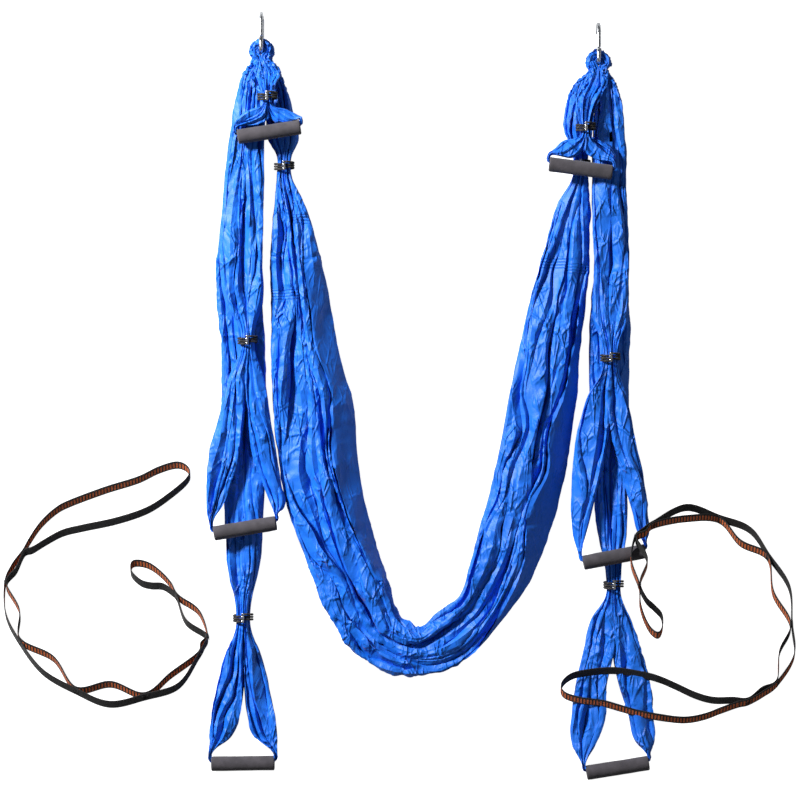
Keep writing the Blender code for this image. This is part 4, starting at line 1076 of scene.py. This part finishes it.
def zinc_plate():
    """Bright zinc on steel: a cool grey mirror, dulled in small clouds."""
    made, tree, shader = new_material("zinc_plated_steel", Metallic=1.0)
    place = add(tree, "ShaderNodeTexCoord").outputs["Object"]
    cloudy = clouded(tree, shader, place, 260.0, "B6BABF", "DCDFE2", detail=3.0)
    dull = add(tree, "ShaderNodeMapRange", Value=cloudy, From_Min=0.3, From_Max=0.7, To_Min=0.2, To_Max=0.36)
    feed(tree, shader, Roughness=dull)
    return made


def tie_path(centre, bottom):
    """The winding of one tie, from inside its clip and back into it."""
    low, high = neck_span(bottom)
    radius = TIE_CORD / 2
    half_width = NECK_WIDTH / 2 + TIE_FIT + radius
    half_height = NECK_HEIGHT / 2 + TIE_FIT + radius
    middle, start_y = (low + high) / 2, centre.y + TIE_PITCH * TIE_TURNS / 2
    steps = TIE_STEPS_A_TURN * TIE_TURNS
    points = []
    for step in range(2, steps - 1):
        share = step / steps
        turn = math.tau * TIE_TURNS * share
        across, up = (math.copysign(abs(v) ** TIE_CORNER_SHARE, v) for v in (math.sin(turn), math.cos(turn)))
        points.append(Vector((centre.x + half_width * across, start_y - TIE_PITCH * TIE_TURNS * share,
                              middle + half_height * up)))
    top = middle + half_height + TIE_CORD + SEAT_GAP
    for sign, y in ((1, start_y), (-1, start_y - TIE_PITCH * TIE_TURNS)):
        near = Vector((centre.x + sign * CRIMP_LENGTH * 0.24, y, top))
        after = near + Vector((sign * TIE_CORD, 0.0, 0.0))
        points = [near, after] + points if sign > 0 else points + [after, near]
    return smooth_open(points, 3)


def pressed_clip(name, centre, bottom, finish):
    """A clip of bent sheet, closed round the cord's ends and pressed in between them."""
    floor = neck_span(bottom)[1] + TIE_FIT + TIE_CORD + SEAT_GAP
    half = Vector((CRIMP_LENGTH * 0.28, (TIE_PITCH * TIE_TURNS + TIE_CORD) / 2, CRIMP_HEIGHT / 2))
    section = [[math.copysign(abs(v) ** CLIP_CORNER_SHARE, v) for v in (math.cos(a), math.sin(a))]
               for a in np.arange(CLIP_SIDES) * math.tau / CLIP_SIDES]
    rows, places = [], np.linspace(-1, 1, 33)
    for place in places:
        ends = (1 - abs(place) ** 14) ** 0.5 * 0.22 + 0.78
        pressed = 1 - CLIP_DENT * math.exp(-((abs(place) - CLIP_DENT_PLACE) / CLIP_DENT_WIDTH) ** 2)
        rows.append([(centre.x + half.x * ends * a, centre.y + half.y * place,
                      floor + half.z * (1 + ends * (pressed if b > 0 else 1) * b)) for a, b in section])
    around = np.arange(CLIP_SIDES + 1) / CLIP_SIDES * 0.03
    return grid_piece(name, np.array(rows), places * half.y, around, finish, False, caps=True)


ELASTIC, ZINC = braided_elastic(), zinc_plate()
TIES = {name: (below(name.split("_")[0], STRAPS[name]["tie_shift"], STRAPS[name]["tie_drop"]),
               layer_span(name.split("_")[1])[0]) for name in STRAPS}
for side, place in SWING_TIES.items():
    TIES[side + "_swing"] = (below(side, place["shift"], place["drop"]), 0.0)
for name, (centre, bottom) in TIES.items():
    cord = round_cord(name + "_elastic", tie_path(centre, bottom), TIE_CORD / 2, TIE_SIDES, ELASTIC)
    settle(cord, name + "_tie", name + "_tie")
    clip = pressed_clip(name + "_clip", centre, bottom, ZINC)
    settle(clip, name + "_tie", name + "_crimp")
print("ties and clips:", len(TIES))

# %% [markdown]
# The carabiners stand on edge, so the picture shows only their wire. Each is a bar bent to a hook, with a slot
# across its nose and its foot, and a turned gate that swings on a riveted pin. The bar is swept along the bend,
# and the slots are cut out of it.

# %% Carabiners
WIRE_SIDES = 32
SHARP_METAL = math.radians(35)
FOOT_STEP = 0.0065
GATE_RIM = 0.0006
GROOVE_DEPTH = 0.0005
TONGUE_EDGE = 0.0004
PIN_HEAD_RADIUS = 0.0023


def wire_line(bow):
    """The bent wire from the gate's foot round the lower bow, spine and upper bow to the nose."""
    low_z, high_z = WIRE_DIAMETER / 2, CARABINER_WIDTH - WIRE_DIAMETER / 2
    corner, top_radius = BOTTOM_CORNER_RADIUS, (high_z - low_z) / 2
    top_y = bow.y + CARABINER_LENGTH - WIRE_DIAMETER - top_radius
    points = [(bow.y + GATE_START - FOOT_STEP * t, high_z) for t in (0, 1, 2)]
    for centre_z, start in ((high_z - corner, 0), (low_z + corner, 90)):
        for angle in np.radians(start + np.linspace(0, 90, 13)):
            points.append((bow.y + corner - corner * math.sin(angle), centre_z + corner * math.cos(angle)))
    points += [(bow.y + corner + (top_y - bow.y - corner) * t, low_z) for t in (0.25, 0.5, 0.75)]
    for angle in np.radians(180 - TOP_BOW_SWEEP_DEG * np.linspace(0, 1, 41)):
        points.append((top_y + top_radius * math.sin(angle), low_z + top_radius * (1 + math.cos(angle))))
    return [Vector((bow.x, y, z)) for y, z in points]


def block(low, high, edge):
    """A block with rounded edges between two corners, as a bmesh."""
    bm = bmesh.new()
    bmesh.ops.create_cube(bm, size=1.0)
    low, high = Vector(low), Vector(high)
    for vert in bm.verts:
        vert.co = Vector([low[k] + (high[k] - low[k]) * (vert.co[k] + 0.5) for k in range(3)])
    if edge:
        bmesh.ops.bevel(bm, geom=bm.edges[:], offset=edge, segments=2, profile=0.5, affect="EDGES", material=-1)
    return bm


def bar(low, high, radius):
    """A round bar between two places, as a bmesh."""
    axis = high - low
    bm = bmesh.new()
    place = Matrix.Translation((high + low) / 2) @ axis.to_track_quat("Z", "Y").to_matrix().to_4x4()
    bmesh.ops.create_cone(bm, cap_ends=True, segments=WIRE_SIDES, radius1=radius, radius2=radius,
                          depth=axis.length, matrix=place)
    return bm


def cut_away(made, tools):
    """The piece with the tools' space cut out of it, as a finished mesh."""
    cutters = []
    for number, bm in enumerate(tools):
        cutter = finish_object(bm, f"cutter_{number}", made.data.materials[0])
        step = made.modifiers.new("cut", "BOOLEAN")
        step.operation, step.solver, step.object = "DIFFERENCE", "EXACT", cutter
        cutters.append(cutter)
    bpy.context.view_layer.update()
    mesh = bpy.data.meshes.new_from_object(made.evaluated_get(bpy.context.evaluated_depsgraph_get()))
    made.modifiers.clear()
    made.data = mesh
    mesh.set_sharp_from_angle(angle=SHARP_METAL)
    for cutter in cutters:
        bpy.data.objects.remove(cutter, do_unlink=True)


def turned(profile, place):
    """A bar turned on a lathe from (along, radius), standing on its axis at place, as a bmesh."""
    bm = spun(profile, WIRE_SIDES, closed=False)
    bmesh.ops.remove_doubles(bm, verts=bm.verts, dist=0.000001)
    bmesh.ops.transform(bm, matrix=place, verts=bm.verts)
    return bm


def joined(parts, name, finish):
    """Several bmeshes as one piece."""
    whole = bmesh.new()
    for bm in parts:
        bmesh.ops.recalc_face_normals(bm, faces=bm.faces)
        mesh = bpy.data.meshes.new("part")
        bm.to_mesh(mesh)
        bm.free()
        whole.from_mesh(mesh)
        bpy.data.meshes.remove(mesh)
    return finish_object(whole, name, finish, outward=False, sharp=SHARP_METAL)


def carabiner(side):
    """One carabiner: its slotted wire, its gate with a tongue at either end, and the pin that the gate turns on."""
    bow = bow_place(side)
    line = wire_line(bow)
    foot, nose = line[0], line[-1]
    pivot = Vector((bow.x, foot.y - TONGUE_LENGTH / 2, foot.z))
    wire = round_cord(side + "_carabiner_wire", line, WIRE_DIAMETER / 2, WIRE_SIDES, ZINC)
    half_slot, reach = TONGUE_THICKNESS / 2 + SLOT_CLEARANCE, WIRE_DIAMETER
    slots = [block((bow.x - half_slot, foot.y - TONGUE_LENGTH - 2 * SEAT_GAP, foot.z - reach),
                   (bow.x + half_slot, foot.y + reach, foot.z + reach), 0),
             block((bow.x - half_slot, nose.y - reach, nose.z - reach),
                   (bow.x + half_slot, nose.y + TONGUE_LENGTH, nose.z + reach), 0)]
    cut_away(wire, slots)
    settle(wire, side + "_carabiner", side + "_carabiner_frame")

    low, high, radius, rim = foot.y + SHOULDER_GAP, nose.y - NOSE_GAP, GATE_DIAMETER / 2, GATE_RIM
    upright = Matrix.Translation((bow.x, 0, pivot.z)) @ Matrix.Rotation(math.pi / 2, 4, "Z")
    groove = [(high - back, radius - sunk) for back, sunk in
              ((0.0062, 0), (0.0057, GROOVE_DEPTH), (0.0051, GROOVE_DEPTH), (0.0046, 0))]
    body = turned([(low, 0.0), (low, radius - rim), (low + rim, radius), *groove,
                   (high - rim, radius), (high, radius - rim), (high, 0.0)], upright)
    half = TONGUE_LENGTH / 2 - SEAT_GAP
    left, right = bow.x - TONGUE_THICKNESS / 2, bow.x + TONGUE_THICKNESS / 2
    tongue = block((left, pivot.y, pivot.z - half),
                   (right, nose.y + TONGUE_LENGTH - 2 * SEAT_GAP, pivot.z + half), TONGUE_EDGE)
    knuckle = bar(Vector((left, pivot.y, pivot.z)), Vector((right, pivot.y, pivot.z)), half)
    settle(joined([body, tongue, knuckle], side + "_turned_gate", ZINC), side + "_gate", side + "_gate")

    flush, head = WIRE_DIAMETER / 2, PIN_HEAD_RADIUS
    ends = [(-flush - 0.0008, 0.0), (-flush - 0.0006, 0.0012), (-flush - 0.0002, head), (-flush + 0.0004, head),
            (-flush + 0.0004, PIN_DIAMETER / 2)]
    pin = turned(ends + [(-x, r) for x, r in reversed(ends)], Matrix.Translation(pivot))
    settle(joined([pin], side + "_riveted_pin", ZINC), side + "_carabiner", side + "_pivot_pin")


for side in ("left", "right"):
    carabiner(side)

# %% [markdown]
# Each daisy chain is one closed belt of webbing, tacked to itself into pockets. The webbing is woven in ribs:
# one face shows orange bars between black edges, and the other is plain black. It stands on its edge and leans.

# %% Webbing
# Daisy chains: where the middle of each one lies from its carabiner's bow, then its route in shares of
# its width: the bar tacks, how far the two strands bow out between them, and the two end loops. A place
# is across, down and a level: 0 on the floor, 1 on a long strap, 2 on a medium strap's grip.
CHAIN_WIDTH = 0.400
CHAIN_MIDDLES = {"left": {"shift": -0.324, "drop": 1.094}, "right": {"shift": 0.205, "drop": 1.112}}
CHAIN_ROUTE_SHARES = {
    "left": {
        "tacks": [(-0.38, -0.235, 0), (-0.47, -0.075, 0), (-0.4, 0.205, 0), (-0.12, 0.45, 0),
                  (0.225, 0.48, 0), (0.49, 0.28, 0), (0.535, 0.18, 0), (0.39, -0.01, 0)],
        "bows": [(-0.015, 0.01), (-0.035, 0.035), (-0.04, 0.045), (-0.055, 0.045), (-0.06, 0.005),
                 (-0.008, 0.008), (-0.04, 0.04)],
        "big_loop": [(-0.35, -0.295, 0), (-0.295, -0.375, 0), (-0.22, -0.445, 0), (-0.145, -0.485, 0),
                     (0.03, -0.55, 0), (0.19, -0.6, 0), (0.295, -0.65, 0), (0.39, -0.675, 0),
                     (0.445, -0.645, 0), (0.435, -0.595, 0), (0.335, -0.51, 0), (0.23, -0.445, 0),
                     (0.08, -0.395, 0), (-0.085, -0.36, 0), (-0.185, -0.335, 0), (-0.27, -0.29, 0),
                     (-0.335, -0.25, 0)],
        "small_loop": [(0.365, -0.035, 0), (0.315, -0.068, 0), (0.255, -0.072, 0), (0.205, -0.087, 0),
                       (0.16, -0.13, 0), (0.16, -0.175, 0), (0.195, -0.185, 0), (0.25, -0.17, 0),
                       (0.305, -0.13, 0), (0.355, -0.075, 0)],
    },
    "right": {
        "tacks": [(0.24, 0.405, 0), (0.385, 0.31, 0), (0.455, 0.025, 0), (0.34, -0.315, 0),
                  (0.095, -0.505, 0), (-0.24, -0.485, 2), (-0.335, -0.41, 2), (-0.315, -0.19, 2)],
        "bows": [(-0.01, 0.01), (-0.05, 0.025), (-0.05, 0.035), (-0.05, 0.03), (-0.07, -0.015),
                 (-0.008, 0.008), (-0.03, 0.05)],
        "big_loop": [(0.19, 0.42, 0), (0.105, 0.45, 0), (0.015, 0.482, 0.2), (-0.085, 0.495, 0.6),
                     (-0.205, 0.48, 1), (-0.32, 0.458, 1), (-0.41, 0.432, 1), (-0.49, 0.41, 1),
                     (-0.61, 0.393, 1), (-0.685, 0.365, 1), (-0.695, 0.32, 1), (-0.645, 0.275, 1),
                     (-0.55, 0.255, 1), (-0.435, 0.247, 1), (-0.32, 0.263, 1), (-0.22, 0.287, 1),
                     (-0.125, 0.328, 0.6), (-0.025, 0.375, 0.2), (0.065, 0.4, 0), (0.16, 0.4, 0)],
        "small_loop": [(-0.28, -0.11, 1.4), (-0.235, -0.065, 0.9), (-0.195, -0.02, 0.4),
                       (-0.19, 0.04, 0.1), (-0.21, 0.075, 0), (-0.245, 0.055, 0), (-0.28, -0.005, 0.4),
                       (-0.305, -0.08, 1.1), (-0.31, -0.15, 1.7)],
    },
}

WEB_STEPS = 12
BAR_PITCH = 0.0066
BAR_SHARE = 0.62
EDGE_BAND = 0.0036
EDGE_BLUR = 0.0006
RIB_DEPTH = 0.00016
WEFT_PITCH = 0.0020
WARP_PITCH = 0.0016
YARN_DEPTH = 0.00025
WEB_SPACING = 0.002
TACK_LENGTH = 0.012
ZIGZAG_PITCH = 0.001
THREAD_DIAMETER = 0.0009
THREAD_SIDES = 6
THREAD_PROUD = 0.0003


def level_height(level):
    """Height of what the webbing lies on: the floor, a long strap or a medium strap's grip."""
    on_strap = layer_span("medium")[0]
    if level <= 1:
        return on_strap * level
    return on_strap + (GRIP_DIAMETER + SEAT_GAP) * (level - 1)


def raised(side, place):
    """A place of a chain's route in metres, from its shares and its level."""
    across, down, level = place
    middle = CHAIN_MIDDLES[side]
    spot = below(side, middle["shift"] + across * CHAIN_WIDTH, middle["drop"] + down * CHAIN_WIDTH)
    return Vector((spot.x, spot.y, level_height(level)))


def chain_route(side):
    """The closed route of the belt: round the big loop, down one strand and back up the other."""
    route = CHAIN_ROUTE_SHARES[side]
    tacks = [raised(side, place) for place in route["tacks"]]
    offset = (WEB_THICKNESS + WEB_STITCH_GAP) / 2
    strands = ([], [])
    for number, spot in enumerate(tacks):
        ahead = (tacks[min(number + 1, len(tacks) - 1)] - tacks[max(number - 1, 0)]).normalized()
        across = Vector((-ahead.y, ahead.x, 0.0)).normalized()
        for strand, sign in zip(strands, (-1, 1)):
            strand.append(spot + across * (sign * offset))
        if number == len(tacks) - 1:
            continue
        chord = tacks[number + 1] - spot
        sideways = Vector((-chord.y, chord.x, 0.0)).normalized()
        for strand, bow in zip(strands, route["bows"][number]):
            strand.append(spot + chord / 2 + sideways * (bow * CHAIN_WIDTH))
    big, small = ([raised(side, place) for place in route[loop]] for loop in ("big_loop", "small_loop"))
    return big + strands[1] + small + list(reversed(strands[0])), tacks


def smooth_closed(points, steps):
    """A closed line through the points, smooth in plan and straight in height."""
    line = []
    for here in range(len(points)):
        near = [points[(here + k) % len(points)] for k in (-1, 0, 1, 2)]
        for step in range(steps):
            spot = curve_point(*near, step / steps)
            spot.z = near[1].z + (near[2].z - near[1].z) * (step / steps)
            line.append(spot)
    return line


def even(line, spacing):
    """A closed line in even steps, with the distance of each step."""
    closed = np.array([*line, line[0]])
    place = distances(closed)
    count = round(place[-1] / spacing)
    wanted = np.arange(count) * place[-1] / count
    return np.stack([np.interp(wanted, place, closed[:, k]) for k in range(3)], axis=1), wanted, place[-1]


def ribbed_webbing(name, orange_side):
    """Polyester webbing woven in ribs: dull black, with dull orange bars. Its yarns are drawn coarse, to show."""
    made, tree, shader = new_material(name, Roughness=0.72, Sheen_Weight=0.06, Sheen_Roughness=0.5)
    place = add(tree, "ShaderNodeUVMap", {"uv_map": "surface"})
    split = add(tree, "ShaderNodeSeparateXYZ", Vector=place)
    along, across = split.outputs["X"], split.outputs["Y"]
    bars = add(tree, "ShaderNodeMath", {"operation": "PINGPONG"}, _0=along, _1=BAR_PITCH / 2)
    on_bar = add(tree, "ShaderNodeMapRange", {"interpolation_type": "SMOOTHSTEP"}, Value=bars,
                 From_Min=BAR_PITCH / 2 * (1 - BAR_SHARE),
                 From_Max=BAR_PITCH / 2 * (1.12 - BAR_SHARE))
    centre = WEB_WIDTH / 2 if orange_side > 0 else WEB_WIDTH * 1.5 + WEB_THICKNESS
    off = add(tree, "ShaderNodeMath", {"operation": "SUBTRACT"}, _0=across, _1=centre)
    far = add(tree, "ShaderNodeMath", {"operation": "ABSOLUTE"}, _0=off)
    half = WEB_WIDTH / 2 - EDGE_BAND
    inside = add(tree, "ShaderNodeMapRange", {"interpolation_type": "SMOOTHSTEP"}, Value=far, From_Min=half,
                 From_Max=half + EDGE_BLUR, To_Min=1.0, To_Max=0.0)
    amount = add(tree, "ShaderNodeMath", {"operation": "MULTIPLY"}, _0=on_bar, _1=inside)
    worn = add(tree, "ShaderNodeTexNoise", Vector=place, Scale=420.0, Detail=2.0)
    orange = ramp(tree, worn, [(0.3, "B4501F"), (0.7, "E07638")])
    black = ramp(tree, worn, [(0.3, "0B0A0B"), (0.7, "171516")])
    colour = add(tree, "ShaderNodeMix", {"data_type": "RGBA"}, _0=amount, _6=black, _7=orange).outputs[2]
    feed(tree, shader, Base_Color=colour)
    yarn = wave(tree, along, math.tau / WEFT_PITCH, across, 0.0)
    cross = wave(tree, along, 0.0, across, math.tau / WARP_PITCH)
    cloth = add(tree, "ShaderNodeMath", {"operation": "MULTIPLY"}, _0=yarn, _1=cross)
    bump = add(tree, "ShaderNodeBump", Height=cloth, Distance=YARN_DEPTH, Strength=0.7)
    feed(tree, shader, Normal=bump)
    return made


def section():
    """The webbing's section from its foot up one face and down the other: height share, side, metres round."""
    face = [0.05, 0.17, 0.34, 0.5, 0.66, 0.83, 0.95]
    rows = [(w, 1.0, w * WEB_WIDTH) for w in face] + [(1.0, 0.5, WEB_WIDTH), (1.0, -0.5, WEB_WIDTH + WEB_THICKNESS)]
    rows += [(w, -1.0, WEB_WIDTH + WEB_THICKNESS + (1 - w) * WEB_WIDTH) for w in reversed(face)]
    return rows + [(0.0, -0.5, 2 * WEB_WIDTH + WEB_THICKNESS), (0.0, 0.5, 2 * WEB_WIDTH + 2 * WEB_THICKNESS)]


def daisy_chain(side, finish):
    """One belt of webbing along its route, and a zigzag of thread on either face of it at every tack."""
    route, tacks = chain_route(side)
    line, along, length = even(smooth_closed(route, WEB_STEPS), WEB_SPACING)
    ahead = np.roll(line, -1, axis=0) - np.roll(line, 1, axis=0)
    across = np.stack([-ahead[:, 1], ahead[:, 0], 0 * ahead[:, 0]], axis=1)
    across /= np.linalg.norm(across, axis=1)[:, None]
    lean = np.array(WEB_LEAN_SHARES) * WEB_WIDTH
    foot = line - np.array([lean[0], lean[1], 0.0]) / 2
    rib = RIB_DEPTH * np.cos(along * math.tau / BAR_PITCH)
    columns = []
    for share, turn, _ in section():
        inside = 0.15 < share < 0.85
        half = WEB_THICKNESS / 2 - RIB_DEPTH + (rib if inside else 0 * rib)
        columns.append(foot + lean * share + across * (turn * half)[:, None])
    around = [metres for _, _, metres in section()] + [2 * (WEB_WIDTH + WEB_THICKNESS)]
    belt = grid_piece(side + "_webbing", np.stack(columns, axis=1), [*along, length], around, finish, True)
    settle(belt, side + "_daisy_chain", side + "_daisy_chain")
    print(side, "webbing:", round(length, 3), "m,", len(tacks), "tacks")
    for number, spot in enumerate(tacks):
        heading = (tacks[min(number + 1, len(tacks) - 1)] - tacks[max(number - 1, 0)]).normalized()
        sideways = Vector((-heading.y, heading.x, 0.0)).normalized()
        base = spot - Vector((WEB_LEAN_SHARES[0], WEB_LEAN_SHARES[1], 0.0)) * WEB_WIDTH / 2
        for face, sign in (("outer", 1), ("inner", -1)):
            proud = sideways * (sign * (WEB_THICKNESS + WEB_STITCH_GAP / 2 + THREAD_PROUD))
            zigzag = [base + Vector(lean) * (0.18 if k % 2 else 0.82) + proud
                      + heading * (ZIGZAG_PITCH * k - TACK_LENGTH / 2)
                      for k in range(round(TACK_LENGTH / ZIGZAG_PITCH) + 1)]
            thread = round_cord(f"{side}_tack_{number}_{face}", zigzag, THREAD_DIAMETER / 2, THREAD_SIDES, THREAD)
            settle(thread, side + "_daisy_chain", None)



def bonded_thread():
    """Bonded nylon thread, twisted: black with a slight shine, its twist only a lighter mottle at this size."""
    made, tree, shader = new_material("black_bonded_thread", Roughness=0.55)
    place = add(tree, "ShaderNodeTexCoord").outputs["Object"]
    clouded(tree, shader, place, 900.0, "141314", "3A3838")
    return made


THREAD = bonded_thread()
daisy_chain("left", ribbed_webbing("black_webbing_orange_bars", -1))
daisy_chain("right", ribbed_webbing("black_webbing_orange_bars_right", 1))

# %% [markdown]
# Two kinds of solid keep their own mesh: the tubes inside the grips and the springs inside the gates. They show
# only through gaps, and get the finish of what they are.

# %% Tubes and springs
def extruded_tube():
    """Extruded polypropylene: plain grey and half glossy, a little cloudy."""
    made, tree, shader = new_material("grey_extruded_polypropylene", Roughness=0.45)
    place = add(tree, "ShaderNodeTexCoord").outputs["Object"]
    clouded(tree, shader, place, 120.0, "5E5D5F", "6B6A6C")
    return made


TUBE = extruded_tube()
for name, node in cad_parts.items():
    if name.endswith("_grip_tube") or name.endswith("_gate_spring"):
        for place in node.material_slots:
            place.material = TUBE if name.endswith("_grip_tube") else ZINC
